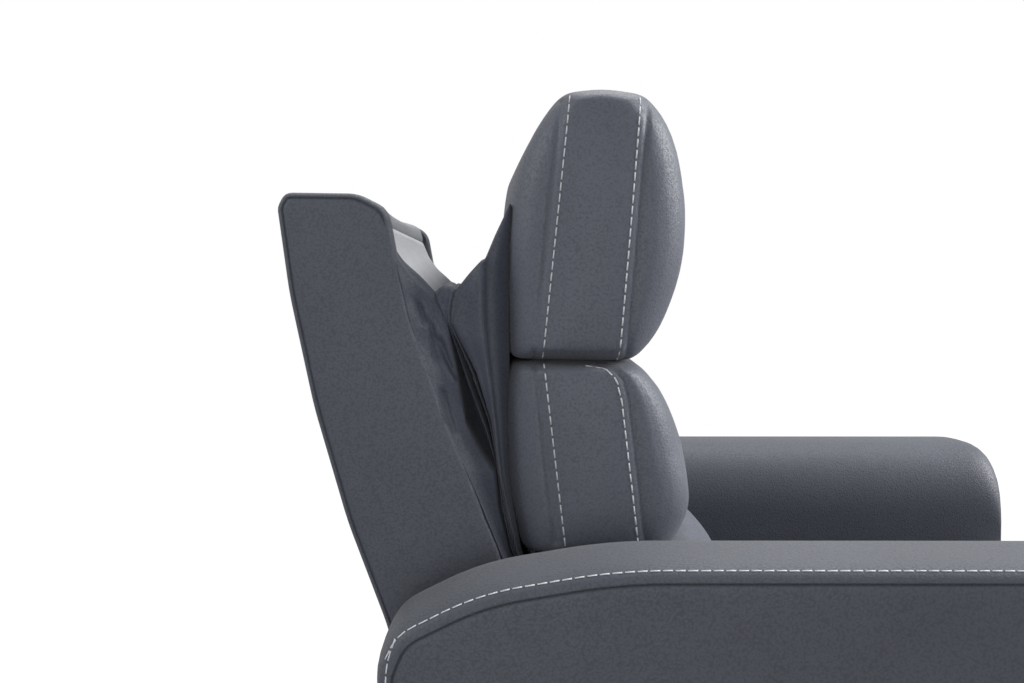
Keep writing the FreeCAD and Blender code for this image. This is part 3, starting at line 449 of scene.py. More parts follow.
def mesh_values(mesh, key):
    values = np.empty(len(mesh.vertices) * 3)
    mesh.vertices.foreach_get(key, values)
    return values.reshape(-1, 3)


def set_mesh_points(piece, pts):
    piece.data.vertices.foreach_set("co", pts.ravel())
    piece.data.update()


def side_view_of(pts):
    """Mesh points in metres as (f, z) in millimetres."""
    return np.column_stack([-pts[:, 1], pts[:, 2]]) * 1000


# Stores per point how strongly the pale highlight is painted on.
def set_painted_highlight(piece, painted_highlight):
    piece.data.attributes.new("painted_highlight", "FLOAT", "POINT").data.foreach_set("value", painted_highlight)


def evaluated(piece):
    return piece.evaluated_get(bpy.context.evaluated_depsgraph_get())


def freeze(piece):
    """The evaluated mesh replaces the piece's own, and its modifiers go."""
    mesh = bpy.data.meshes.new_from_object(evaluated(piece))
    piece.modifiers.clear()
    piece.data = mesh
    mesh.polygons.foreach_set("use_smooth", [True] * len(mesh.polygons))


def puff_up(piece, voxel, pressure, cap, seams=(), side_x=0.0):
    """Remeshes a pad evenly and inflates it a little, held along its side seams."""
    remesh = piece.modifiers.new("even", "REMESH")
    remesh.mode = "VOXEL"
    remesh.voxel_size = voxel
    freeze(piece)
    start = mesh_values(piece.data, "co")
    side_view = side_view_of(start)
    held = np.zeros(len(start), bool)
    for line in seams:
        held |= (line_distance(side_view, line) < SEAM_HOLD) & (np.abs(start[:, 0]) * 1000 > side_x)
    pins = piece.vertex_groups.new(name="seams")
    pins.add([int(i) for i in np.nonzero(held)[0]], 1.0, "REPLACE")
    cloth = piece.modifiers.new("puff", "CLOTH")
    for key, value in PUFF_CLOTH.items():
        setattr(cloth.settings, key, value)
    cloth.settings.uniform_pressure_force = pressure
    cloth.settings.effector_weights.gravity = 0
    cloth.point_cache.frame_start, cloth.point_cache.frame_end = 1, PUFF_FRAMES
    for step in range(1, PUFF_FRAMES + 1):
        bpy.context.scene.frame_set(step)
    moved = mesh_values(evaluated(piece).data, "co")
    normals = mesh_values(piece.data, "normal")
    swell = np.sum((moved - start) * normals, axis=1)
    piece.modifiers.clear()
    bpy.context.scene.frame_set(1)
    set_mesh_points(piece, start + normals * np.clip(swell, 0, cap)[:, None])


def subdivide(piece):
    finer = piece.modifiers.new("finer", "SUBSURF")
    finer.levels = finer.render_levels = 1
    freeze(piece)


def press_seams(piece, lines, side_x, depth, width):
    """Draws the surface in along seams on both side panels."""
    pts, normals = mesh_values(piece.data, "co"), mesh_values(piece.data, "normal")
    side_view = side_view_of(pts)
    near = np.zeros(len(pts))
    for line in lines:
        near = np.maximum(near, np.exp(-(line_distance(side_view, line) / width) ** 2))
    near *= np.abs(pts[:, 0]) * 1000 > side_x
    set_mesh_points(piece, pts - normals * (near * depth / 1000)[:, None])


def thicken(piece):
    """Gives a cloth its thickness and returns its flat area."""
    area = sum(face.area for face in piece.data.polygons)
    thick = piece.modifiers.new("cloth", "SOLIDIFY")
    thick.thickness = CLOTH_THICKNESS
    thick.offset = 0.0
    freeze(piece)
    return area


# Stitching

STITCH_SIZES = (("Pitch", 0.0100), ("Length", 0.0078), ("Width", 0.0014), ("Height", 0.0010))
STITCH_SIDES = 8
STITCH_LIFT = 0.0002
RUN_STEPS = 40
SIDE_MARGIN = 60.0


def surface_of(piece):
    return BVHTree.FromObject(piece, bpy.context.evaluated_depsgraph_get())


def side_runs(piece, lines, half):
    """Stitch runs on both side panels: side-view lines dropped onto the surface from outside."""
    tree = surface_of(piece)
    runs = []
    for side in (-1, 1):
        for line in lines:
            run = []
            for a, b in zip(line[:-1], line[1:]):
                for t in np.linspace(0, 1, RUN_STEPS):
                    f, z = a[0] + (b[0] - a[0]) * t, a[1] + (b[1] - a[1]) * t
                    outside = metres(side * (half + SIDE_MARGIN), f, z)
                    hit, normal, _, _ = tree.ray_cast(outside, Vector((-side, 0, 0)))
                    if hit is not None and abs(hit.x) * 1000 > half - SIDE_MARGIN:
                        run.append((hit, normal))
            runs.append(run)
    return runs


def stitch_tree():
    """Node tree that lays short stitches along a path."""
    tree = bpy.data.node_groups.new("stitch_run", "GeometryNodeTree")
    add_socket = tree.interface.new_socket
    add_socket("Geometry", in_out="INPUT", socket_type="NodeSocketGeometry")
    for label, value in STITCH_SIZES:
        add_socket(label, in_out="INPUT", socket_type="NodeSocketFloat").default_value = value
    add_socket("Thread", in_out="INPUT", socket_type="NodeSocketMaterial")
    add_socket("Geometry", in_out="OUTPUT", socket_type="NodeSocketGeometry")
    entry, out = tree.nodes.new("NodeGroupInput").outputs, tree.nodes.new("NodeGroupOutput")
    curve = node(tree, "GeometryNodeMeshToCurve", [("Mesh", entry["Geometry"])])
    even = node(tree, "GeometryNodeResampleCurve",
                [("Curve", curve.outputs[0]), ("Length", entry["Pitch"])], mode="LENGTH")
    lie = node(tree, "GeometryNodeInputNamedAttribute", data_type="FLOAT_VECTOR")
    lie.inputs["Name"].default_value = "lie"
    tangent = node(tree, "GeometryNodeInputTangent")
    ahead = node(tree, "FunctionNodeAlignEulerToVector", [("Vector", tangent.outputs[0])], axis="X")
    upright = node(tree, "FunctionNodeAlignEulerToVector",
                   [("Rotation", ahead.outputs[0]), ("Vector", lie.outputs[0])],
                   axis="Z", pivot_axis="X")
    barrel = node(tree, "GeometryNodeMeshCylinder", Vertices=STITCH_SIDES, Radius=0.5, Depth=1.0)
    laid = node(tree, "GeometryNodeTransform", [("Geometry", barrel.outputs["Mesh"])])
    laid.inputs["Rotation"].default_value = (0, math.pi / 2, 0)
    size = node(tree, "ShaderNodeCombineXYZ",
                [("X", entry["Length"]), ("Y", entry["Width"]), ("Z", entry["Height"])])
    row = node(tree, "GeometryNodeInstanceOnPoints",
               [("Points", even.outputs[0]), ("Instance", laid.outputs[0]),
                ("Rotation", upright.outputs[0]), ("Scale", size.outputs[0])])
    real = node(tree, "GeometryNodeRealizeInstances", [("Geometry", row.outputs[0])])
    smooth = node(tree, "GeometryNodeSetShadeSmooth", [("Geometry", real.outputs[0])])
    dressed = node(tree, "GeometryNodeSetMaterial",
                   [("Geometry", smooth.outputs[0]), ("Material", entry["Thread"])])
    tree.links.new(dressed.outputs[0], out.inputs[0])
    return tree


STITCH_RUN = stitch_tree()


def sew(name, runs, body):
    """Rows of contrast stitches along runs of (point, normal)."""
    verts, edges, normals = [], [], []
    for run in runs:
        for i, (p, n) in enumerate(run):
            verts.append(p + n * STITCH_LIFT)
            normals += list(n)
            if i:
                edges.append((len(verts) - 2, len(verts) - 1))
    path = bpy.data.meshes.new(name + "_path")
    path.from_pydata(verts, edges, [])
    path.attributes.new("lie", "FLOAT_VECTOR", "POINT").data.foreach_set("vector", normals)
    piece = bpy.data.objects.new(name, path)
    bpy.context.scene.collection.objects.link(piece)
    rows = piece.modifiers.new("rows", "NODES")
    rows.node_group = STITCH_RUN
    for item in STITCH_RUN.interface.items_tree:
        if item.in_out == "INPUT" and item.name == "Thread":
            rows[item.identifier] = THREAD
    freeze(piece)
    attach(piece, body)


# Pillows

# Side views: points (f, z) on the outline, with 1 for those that are corners
HEAD_OUTLINE = [
    (-238, 800, 1), (-120, 798, 1), (-99, 822, 0), (-84, 854, 0), (-74, 889, 0), (-71, 927, 0),
    (-72, 953, 0), (-78, 992, 0), (-90, 1024, 0), (-109, 1049, 1), (-148, 1054, 0), (-187, 1051, 1),
    (-200, 1036, 0), (-215, 1013, 0), (-226, 989, 0), (-233, 964, 0), (-237, 932, 0), (-239, 889, 0),
]
MID_OUTLINE = [
    (-237, 797, 1), (-240, 772, 0), (-241, 726, 0), (-239, 683, 0), (-233, 652, 0), (-225, 616, 1),
    (-112, 615, 0), (-84, 622, 0), (-75, 636, 0), (-67, 652, 0), (-65, 665, 0), (-66, 678, 0),
    (-69, 693, 0), (-75, 712, 0), (-80, 733, 0), (-86, 751, 0), (-95, 770, 0), (-106, 786, 0),
    (-118, 797, 1),
]
LOWER_OUTLINE = [
    (-184, 521, 1), (-60, 521, 0), (-40, 544, 0), (-33, 574, 0), (-40, 598, 0), (-56, 610, 0),
    (-100, 607, 0), (-206, 601, 1),
]
HEAD_STITCHES = [[(-182, 1041), (-207, 797)], [(-117, 1039), (-136, 800)]]
MID_STITCHES = [[(-205, 793), (-186, 631)],
                [(-163, 794), (-147, 791), (-139, 782), (-134, 764), (-118, 631)]]
SEAM_OFFSETS = (-8.0, 8.0)
# Depth and width of a seam: first its hollow in the pad, then its groove
SEAM_HOLLOW, SEAM_GROOVE = (0.8, 6.0), (2.0, 2.4)
SEAM_EDGE = 30
PILLOW_ROUND, PILLOW_STEP = (38.0, 44.0), 5.0
PILLOW_SIDE, PILLOW_SIDE_PUFF = (0.15, 0.3, 0.5, 0.7, 0.85, 0.95), 6.0
# Mesh size, pressure and the most that a pad swells
PILLOW_PUFF = (0.005, 4.0, 0.006)


def pillow(name, outline, half, body, node_name, crown, stitches=(), round_z=11.0, lean=0.0):
    """A pillow across the back. lean is how far the middle of its front stands forward."""
    points = smooth_outline(outline, PILLOW_STEP)
    profile = rounded_profile(half, *PILLOW_ROUND, round_z, crown)
    rings = padded_rings(points, profile, PILLOW_SIDE, PILLOW_SIDE_PUFF)
    middle, front = points[:, 0].mean(), points[:, 0].max()
    for ring in rings:
        bow = lean * max(0, 1 - (ring[0, 0] / half) ** 2)
        ring[:, 1] += bow * np.clip((ring[:, 1] - middle) / (front - middle), 0, 1)
    seams = [[(f + offset, z) for f, z in line] for line, offset in zip(stitches, SEAM_OFFSETS)]
    piece = loft(name, rings, SLATE_PILLOW_LIT)
    puff_up(piece, *PILLOW_PUFF, seams, half - SEAM_EDGE)
    press_seams(piece, seams, half - SEAM_EDGE, *SEAM_HOLLOW)
    subdivide(piece)
    press_seams(piece, seams, half - SEAM_EDGE, *SEAM_GROOVE)
    finish_soft(piece, body, node_name)
    if stitches:
        sew(name + "_stitches", side_runs(piece, stitches, half), body)


pillow("head_pillow_cover", HEAD_OUTLINE, PILLOW_HALF - 6, "headrest", "head_pillow", 3.0,
       HEAD_STITCHES)
pillow("mid_pillow_cover", MID_OUTLINE, PILLOW_HALF - 6, "headrest", "mid_pillow", 3.0,
       MID_STITCHES, round_z=5.0)
pillow("lower_pillow_cover", LOWER_OUTLINE, PILLOW_HALF - 10, "back", "lower_pillow", 1.0,
       lean=20.0)


# Arms

ARM_OUTLINE = [
    (ARM_REAR, ARM_FOOT, 4), (ARM_FRONT, ARM_FOOT, 4), (ARM_FRONT, ARM_TOP, 48), (-150, ARM_TOP, 500),
    (-262, 631, 240), (-332, 596, 70), (ARM_REAR, 562, 40),
]
# Cross-section from the sitter's side to the outer side: place across, inset all round, drop of top
ARM_SECTION = [
    (-80, 9, 84), (-79.6, 8, 72), (-78, 7, 59), (-74, 6, 45), (-67, 4.5, 31), (-57, 3, 19),
    (-45, 2, 10), (-31, 1, 4), (-16, 0.4, 1), (0, 0, 0), (30, 0.4, 0), (50, 1.4, 0), (62, 2.6, 0),
    (70, 4.2, 0), (75, 6.2, 0), (78, 9, 0), (79.5, 12.5, 0), (79.8, 14.6, 0), (78.6, 15.5, 0),
    (77.6, 16.2, 0), (78.8, 17.0, 0), (79.6, 18.5, 0), (79.9, 22, 0), (80, 28, 0),
]
ARM_SIDE = (0.15, 0.35, 0.55, 0.75, 0.92)
ARM_SQUARE_FOOT = 60
RECESS_OUT, RECESS_IN, RECESS_ANGLE = 5, 20, 50
# The stitches over the arm: place across and inset, height above the foot, and where they end behind
ARM_STITCH, ARM_STITCH_FOOT = (75, 6.2), 50
SWEEP_END_F, SWEEP_END_Z = ARM_REAR + 40, 574
# The row down the rear corner: place forward, top, foot and count of points
REAR_ROW_F, REAR_ROW_TOP, REAR_ROW_FOOT, REAR_ROW_POINTS = ARM_REAR + 11, 590, ARM_FOOT + 40, 60


def cut_opening(piece, low, high):
    """Cuts a box-shaped recess out of a piece."""
    corners = [(x, f, z) for x in (low[0], high[0]) for f in (low[1], high[1])
               for z in (low[2], high[2])]
    sides = [(0, 1, 3, 2), (4, 5, 7, 6), (0, 1, 5, 4), (2, 3, 7, 6), (0, 2, 6, 4), (1, 3, 7, 5)]
    cutter = new_piece("recess", corners, sides, SLATE_ARM_SHADED)
    cut = piece.modifiers.new("recess", "BOOLEAN")
    cut.object = cutter
    freeze(piece)
    piece.data.set_sharp_from_angle(angle=math.radians(RECESS_ANGLE))
    bpy.data.objects.remove(cutter)


def arm_ring(points, x, inset, drop):
    """The arm's outline moved inwards but square at its foot, with its top lowered."""
    ring = offset_ring(points, x, inset)
    foot = points[:, 1] < ARM_FOOT + ARM_SQUARE_FOOT
    ring[foot, 1] = np.clip(points[foot, 0], ARM_REAR + inset, ARM_FRONT - inset)
    ring[foot, 2] = points[foot, 1]
    ring[:, 2] = ARM_FOOT + (ring[:, 2] - ARM_FOOT) * (1 - drop / (ARM_TOP - ARM_FOOT))
    return ring


def arm(name, side, node_name):
    points = round_outline(ARM_OUTLINE, 5.0)
    rings = [arm_ring(points, side * (ARM_CENTRE + w), inset, drop) for w, inset, drop in ARM_SECTION]
    inner, outer = (closing_rings(rings[end], ARM_SIDE, 0.0) for end in (0, -1))
    piece = loft(name, inner[::-1] + rings + outer, SLATE_ARM_SHADED)
    if side < 0:
        (f, z), (half_f, half_z) = PANEL_CENTRE, PANEL_RECESS
        cut_opening(piece, (-HALF - RECESS_OUT, f - half_f, z - half_z),
                    (-HALF + RECESS_IN, f + half_f, z + half_z))
    finish_soft(piece, "chair", node_name)
    tree = surface_of(piece)
    place, inset = ARM_STITCH
    ring = arm_ring(points, side * (ARM_CENTRE + place), inset, 0.0)
    start = int(np.argmin(np.abs(ring[:, 1]) + ring[:, 2]))
    over, down = [], []
    for x, f, z in np.roll(ring, -start, axis=0):
        if z > ARM_FOOT + ARM_STITCH_FOOT and not (f < SWEEP_END_F and z < SWEEP_END_Z):
            over.append(tree.find_nearest(metres(x, f, z))[:2])
    for z in np.linspace(REAR_ROW_TOP, REAR_ROW_FOOT, REAR_ROW_POINTS):
        down.append(tree.find_nearest(metres(side * HALF, REAR_ROW_F, z))[:2])
    sew(name + "_stitches", [over, down], "chair")


arm("arm_right_cover", -1, "arm_cover_right")
arm("arm_left_cover", 1, "arm_cover_left")


# Back shell

SHELL_FRONT_EDGE = [(-244, 617, 400), (-297, 748, 400), (-331, 842, 300), (-349, 940, 24)]
SHELL_REAR_EDGE = [(-451, 941, 12), (-440.5, 862, 400), (-418.5, 757, 400), (-388, 650, 400),
                   (-353, 556, 200)]
WING_OUTLINE = [
    (*SHELL_REAR_LOW, 14), (*SHELL_FRONT_LOW, 26), *SHELL_FRONT_EDGE, (-377, SHELL_TOP - 1, 36),
    (-444, SHELL_TOP, 14), *SHELL_REAR_EDGE,
]
# Half cross-section of a wing with its piping: distance from its middle, inset. WING_PLAIN gives the
# distances along its front edge, where there is no piping.
WING_SECTION = [(0, 0), (6, 0.3), (9, 1.1), (10.8, 2.4), (11.6, 3.8), (11.3, 4.4), (9.6, 5.0),
                (9.4, 5.6), (11.0, 6.2), (11.8, 8), (12, 10)]
WING_PLAIN = [0, 6, 9, 10.6, 11.3, 11.5, 11.6, 11.7, 11.8, 11.9, 12]
WING_SIDE, WING_PUFF = (0.12, 0.3, 0.5, 0.7, 0.9), 0.8
PLAIN_DEPTH, PLAIN_FADE, PIPING_LOW, PIPING_FADE = 24, 12, 932, 10
# The roll's sag between the wings, and the pale highlight painted on its top and front
ROLL_SAG, ROLL_HALF, ROLL_LOW, ROLL_RISE = 4.5, 190, 900, 40
ROLL_HIGHLIGHT, HIGHLIGHT_LOW, HIGHLIGHT_REAR = 0.4, 918, 430


def wing(name, side):
    points = round_outline(WING_OUTLINE, 3.5)
    middle = side * (WING_INNER + WING_OUTER) / 2
    edge = np.array([SHELL_FRONT_LOW, *(corner[:2] for corner in SHELL_FRONT_EDGE)])
    front = np.interp(points[:, 1], edge[:, 1], edge[:, 0])
    plain = np.clip((points[:, 0] - front + PLAIN_DEPTH) / PLAIN_FADE, 0, 1)
    plain *= np.clip((PIPING_LOW - points[:, 1]) / PIPING_FADE, 0, 1)
    outer, inner = [], []
    for (w, inset), w_plain in zip(WING_SECTION, WING_PLAIN):
        reach = w + (w_plain - w) * plain
        for rings, way in ((outer, 1), (inner, -1)):
            ring = offset_ring(points, middle, inset)
            ring[:, 0] += way * reach
            rings.append(ring)
    inner_side = closing_rings(inner[-1], WING_SIDE, -WING_PUFF)
    outer_side = closing_rings(outer[-1], WING_SIDE, WING_PUFF)
    return loft(name, inner_side[::-1] + inner[:0:-1] + outer + outer_side, SLATE)


def join_pieces(name, pieces):
    """Several pieces as one mesh."""
    bm = bmesh.new()
    for piece in pieces:
        bm.from_mesh(piece.data)
    mesh = bpy.data.meshes.new(name)
    bm.to_mesh(mesh)
    bm.free()
    mesh.materials.append(pieces[0].data.materials[0])
    joined = bpy.data.objects.new(name, mesh)
    bpy.context.scene.collection.objects.link(joined)
    for piece in pieces:
        bpy.data.objects.remove(piece)
    return joined


def shell_wrap():
    """Rear skin and top roll between the wings."""
    (top_f, top_z), (low_f, low_z) = SHELL_REAR_TOP, SHELL_REAR_LOW
    low, top = low_z + 6, SHELL_TOP - 1
    start = top_f + (top_z - low) * ((low_f - top_f) / (top_z - low_z))
    corners = [
        (start + 1, low, 4), (start + 21, low, 4), (-429, top - 20, 10), (-352, top - 32, 8),
        (-358, top - 8, 12), (-386, top, 30), (-442, top, 12),
        *((f + 1.5, z, r) for f, z, r in SHELL_REAR_EDGE[1:]),
    ]
    points = round_outline(corners, 4.0)
    rings = []
    for x in np.linspace(-WING_INNER + 0.4, WING_INNER - 0.4, 41):
        tuck = max(0.0, 1 - (WING_INNER - abs(x)) / 12)
        ring = offset_ring(points, x, 2.0 * tuck ** 2)
        sag = ROLL_SAG * max(0.0, 1 - (x / ROLL_HALF) ** 4)
        ring[:, 2] -= sag * np.clip((ring[:, 2] - ROLL_LOW) / ROLL_RISE, 0, 1)
        rings.append(ring)
    piece = loft("shell_wrap", rings, SLATE)
    pts = mesh_values(piece.data, "co") * 1000
    # Painted highlight on the top and front of the roll, where the light catches it.
    painted_highlight = np.clip((pts[:, 2] - HIGHLIGHT_LOW) / 8, 0, 1) * np.clip((HIGHLIGHT_REAR - pts[:, 1]) / 30, 0, 1)
    set_painted_highlight(piece, ROLL_HIGHLIGHT * painted_highlight)
    return piece


wings = join_pieces("shell_wings", [wing("wing_right", -1), wing("wing_left", 1)])
finish_soft(wings, "back", "back_side_panels")
finish_soft(shell_wrap(), "back", "back_rear_panel")


# Folded cloth between the shell and the raised upper back

# Side-view places of the cloth's folds at rising heights: the shell's edge, the rear flap's lip, the
# front flap's lip, its pleat and the pillow's back. Two ribs lie in the slit between the lips, at
# shares of the way across. The last row is the slit's depth.
FOLD_HEIGHTS = (560, 620, 660, 695, 712, 740, 787, 812, 835, 862, 890, 920, 950)
FOLD_PLACES = {
    "edge": (-218, -245, -261, -277, -285, -296, -314, -323, -330, -336, -342, -351, -353),
    "lip": (-214, -238, -248, -251, -263, -278, -286, -291, -296, -305, -322, -345, -350),
    "front_lip": (-211, -232, -241, -248, -250, -254, -268, -280, -293, -292, -288, -284, -280),
    "pleat": (-210, -230, -239, -246, -248, -251, -257, -260, -262, -263, -262, -256, -250),
    "back": (-209, -227, -234, -238, -238, -238, -238, -238, -238, -238, -238, -237, -236),
    "rib_1": (0.5, 0.5, 0.6, 0.7, 0.7, 0.62, 0.32, 0.28, 0.3, 0.3, 0.3, 0.3, 0.3),
    "rib_2": (0.8, 0.8, 0.9, 0.92, 0.92, 0.9, 0.78, 0.74, 0.75, 0.75, 0.75, 0.75, 0.75),
    "slit": (10, 14, 22, 30, 60, 80, 62, 34, 3, -4, -4, -4, -4),
}
# The same folds across the top, from the shell to the pillow: (f, z)
TOP_FOLDS = [
    (-355, 926), (-347, 907), (-337, 892), (-321, 878), (-307, 863), (-306, 863.5), (-305, 864),
    (-302, 867), (-297, 870), (-292, 868), (-289, 866), (-287, 865), (-275, 880), (-263, 893),
    (-260, 894), (-251, 916), (-237, 946),
]
LIP_FOLD, PLEAT_FOLD = 4, 13
FLAP_SHARES = (0.2, 0.45, 0.75)
# Distances of the folds from the middle plane
EDGE_X, LIP_X, SLIT_X = 257.0, 241.0, 243.0
FRONT_LIP_X, FRONT_X, PLEAT_X, BACK_X = 239.0, 241.0, 247.0, 222.0
POCKET_X, POCKET_DEPTH, POCKET_TOP = (234.0, 233.0), 3.5, 887
FLAP_DRAW, FLAP_HOLLOW = 15.0, 4.0
WEB_CREASES = [[(-303, 818), (-296, 800), (-287, 783)], [(-323, 853), (-317, 836)],
               [(-311, 833), (-306, 802)], [(-300, 770), (-290, 735)]]
CREASE_DEPTH, CREASE_WIDTH, WRINKLE = 5.0, 3.0, 1.4
FOLD_STEPS, SIDE_ROWS, TOP_ROWS = 4, 90, 60
CLOTH_LOW, CORNER_X, TOP_HALF = 575.0, 239.0, 236
# How far the corner is drawn in at the pillow, and the share of the way up at which it begins to turn
CORNER_DRAW, CORNER_START, CORNER_RUN = 14.0, 0.93, 0.07


def web_section(z):
    """Side-view place and distance from the middle plane of every fold at one height."""
    edge, lip, front, pleat, back, rib_1, rib_2, slit = (
        float(np.interp(z, FOLD_HEIGHTS, places)) for places in FOLD_PLACES.values())
    pocket = POCKET_DEPTH / (1 + math.exp((z - POCKET_TOP) / 1.5))
    flap = [(edge + (lip - edge) * share,
             EDGE_X - FLAP_DRAW * share - FLAP_HOLLOW * math.sin(math.pi * share))
            for share in FLAP_SHARES]
    ribs = [(-0.14, 0.6), (rib_1 * 0.7, 1.0), (rib_1, 0.3), ((rib_1 + rib_2) / 2, 1.0), (rib_2, 0.12),
            ((1 + rib_2) / 2, 0.9)]
    return np.array([
        (edge, EDGE_X), *flap, (lip, LIP_X),
        *((lip + (front - lip) * share, SLIT_X - slit * depth) for share, depth in ribs),
        (front, FRONT_LIP_X), ((front + pleat) / 2, FRONT_X), (pleat, PLEAT_X),
        (pleat + (back - pleat) * 0.1, POCKET_X[0] + pocket),
        ((pleat + back) / 2, POCKET_X[1] + pocket),
        (back, BACK_X),
    ])


def along_folds(places):
    """Points between neighbouring folds, eased so that the folds are soft."""
    pts = []
    for here, after in zip(places[:-1], places[1:]):
        pts += [here * (1 - t) + after * t for t in np.linspace(0, 1, FOLD_STEPS, endpoint=False)]
    pts = np.array([*pts, places[-1]])
    pts[1:-1] = (pts[:-2] + 2 * pts[1:-1] + pts[2:]) / 4
    return pts


def web_row(top, drawn, t):
    """One row of the side web as (f, distance from the middle plane, z), at a share of the way up."""
    ease = max(0.0, (t - CORNER_START) / CORNER_RUN) ** 2
    row = []
    for i, (top_f, top_z) in enumerate(top):
        z = CLOTH_LOW + (top_z - CLOTH_LOW) * t
        f, x = along_folds(web_section(z))[i]
        wrinkle = (WRINKLE * math.sin(z * 0.11 + f * 0.05) * math.sin(z * 0.047 + 1.3)
                   * min(1, (1 - t) * 5))
        row.append((f * (1 - ease) + top_f * ease,
                    x * (1 - ease) + (CORNER_X - drawn[i]) * ease + wrinkle, z))
    row = np.array(row)
    for crease in WEB_CREASES:
        near = np.exp(-(line_distance(row[:, [0, 2]], crease) / CREASE_WIDTH) ** 2)
        row[:, 1] -= CREASE_DEPTH * near
    return row


def gusset_cloth():
    """One cloth that rises up the right side, crosses the top in a valley and goes down the left."""
    top = along_folds(np.array(TOP_FOLDS, float))
    pleat = PLEAT_FOLD * FOLD_STEPS
    drawn = CORNER_DRAW * np.clip((np.arange(len(top)) - pleat) / (len(top) - 1 - pleat), 0, 1)
    rows = [web_row(top, drawn, t) for t in np.linspace(0, 1, SIDE_ROWS)]
    right = [np.column_stack([-r[:, 1], r[:, 0], r[:, 2]]) for r in rows]
    left = [np.column_stack([r[:, 1], r[:, 0], r[:, 2]]) for r in rows][::-1]
    middle = []
    spread = np.linspace(0, 1, len(top))
    for x in np.linspace(-TOP_HALF, TOP_HALF, TOP_ROWS):
        sag = 2.0 * math.sin(x * 0.03) + 1.4 * math.sin(x * 0.071 + 1)
        round_over = 2.5 * max(0, 1 - (CORNER_X - abs(x)) / 8) ** 2
        height = top[:, 1] + sag * 4 * spread * (1 - spread) - round_over
        middle.append(np.column_stack([x * (1 - drawn / CORNER_X), top[:, 0], height]))
    grid = np.array(right + middle + left)
    faces = grid_faces(*grid.shape[:2])
    piece = new_piece("gusset_cloth", grid.reshape(-1, 3), faces, SLATE_LINING)
    # Painted highlight: the pale colour is painted on the rear top panel of the cloth, fading towards
    # the lip.
    painted_highlight = np.zeros(grid.shape[:2])
    way = np.arange(len(top)) / (LIP_FOLD * FOLD_STEPS)
    for k in range(TOP_ROWS):
        end = 1.0 - 0.36 * k / TOP_ROWS
        painted_highlight[SIDE_ROWS + k] = np.clip((end + 0.08 - way) / 0.5, 0, 1)
    set_painted_highlight(piece, painted_highlight.ravel())
    area = thicken(piece)
    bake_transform(piece)
    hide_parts("gusset")


gusset_cloth()


# Lining below the lower pillow

APRON_HALF, APRON_LOW, APRON_HIGH = 234.6, 408.0, 536.0
APRON_BEHIND, APRON_HOLLOW = 5.0, 2.5
APRON_ROWS, APRON_COLUMNS = 15, 41


def back_apron():
    """Lining cloth stretched between the wings, in front of the wooden posts."""
    verts = []
    for z in np.linspace(APRON_LOW, APRON_HIGH, APRON_ROWS):
        belly = APRON_HOLLOW * math.sin(math.pi * (z - APRON_LOW) / (APRON_HIGH - APRON_LOW))
        verts += [(x, shell_front(z) - APRON_BEHIND - belly * (1 - (x / APRON_HALF) ** 2), z)
                  for x in np.linspace(-APRON_HALF, APRON_HALF, APRON_COLUMNS)]
    piece = new_piece("back_apron", verts, grid_faces(APRON_ROWS, APRON_COLUMNS), SLATE_LINING)
    area = thicken(piece)
    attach(piece, "back")


back_apron()


# Seat, footrest and rear board

SEAT_OUTLINE = [(-92, 403, 20), (446, 403, 30), (446, 503, 44), (-92, 503, 24)]
FOOT_OUTLINE = [(366, 86, 14), (444, 86, 30), (444, 376, 36), (366, 376, 14)]
BOARD_OUTLINE = [(-318, 60, 4), (-306, 60, 4), (-306, 320, 4), (-318, 320, 4)]
# Half width, rounding across, forward and up, and crown
SEAT_PROFILE, FOOT_PROFILE = (257, 30, 14, 20, 0), (251, 28, 16, 20, 3.0)
SEAT_RISE, SEAT_MIDDLE, SEAT_REACH = 14, 177, 300
RISE_LOW, RISE_SPAN = 440, 60
PAD_SIDE, PAD_SIDE_PUFF, PAD_STEP = (0.15, 0.3, 0.5, 0.7, 0.9), 2.0, 6.0
PAD_PUFF = (0.006, 3.0, 0.004)
BOARD_EDGE = ((265, 1.6), (263.5, 0.5), (262, 0))


def flat_pad(name, outline, profile, body, node_name, rise=0):
    """A seat or footrest pad. rise is how far the middle of its top stands up."""
    points = round_outline(outline, PAD_STEP)
    rings = padded_rings(points, rounded_profile(*profile), PAD_SIDE, PAD_SIDE_PUFF)
    for ring in rings:
        across = max(0, 1 - (ring[:, 0].mean() / profile[0]) ** 2)
        along = np.clip(1 - ((ring[:, 1] - SEAT_MIDDLE) / SEAT_REACH) ** 2, 0, 1)
        upper = np.clip((ring[:, 2] - RISE_LOW) / RISE_SPAN, 0, 1)
        ring[:, 2] += rise * across * upper * along
    piece = loft(name, rings, SLATE)
    puff_up(piece, *PAD_PUFF)
    subdivide(piece)
    finish_soft(piece, body, node_name)


def covered_board():
    points = round_outline(BOARD_OUTLINE, 3.0)
    stations = [(-x, inset) for x, inset in BOARD_EDGE]
    stations += [(x, 0) for x in np.linspace(-240, 240, 13)] + list(BOARD_EDGE[::-1])
    piece = loft("rear_board_cover", [drawn_ring(points, x, a, a) for x, a in stations], SLATE)
    finish_soft(piece, "chair", "rear_panel")


flat_pad("seat_cushion_cover", SEAT_OUTLINE, SEAT_PROFILE, "chair", "seat_cushion", SEAT_RISE)
flat_pad("footrest_cover", FOOT_OUTLINE, FOOT_PROFILE, "footrest", "footrest_pad")
covered_board()


# Finishes of the rigid pieces

FINISHES = {
    "frame_paint": BLACK_COAT, "bright_steel": ZINC, "wood": PLYWOOD, "plastic": BLACK_PLASTIC,
    "key_plastic": KEY_PLASTIC, "glide": GLIDE_RUBBER, "rod": GROUND_STEEL, "upholstery": SLATE,
}
for part in frame["record"]["subparts"]:
    solid = frame["nodes"][part["node"]]
    solid.data.materials.clear()
    solid.data.materials.append(FINISHES[part["material_slot"]])


# Studio and camera

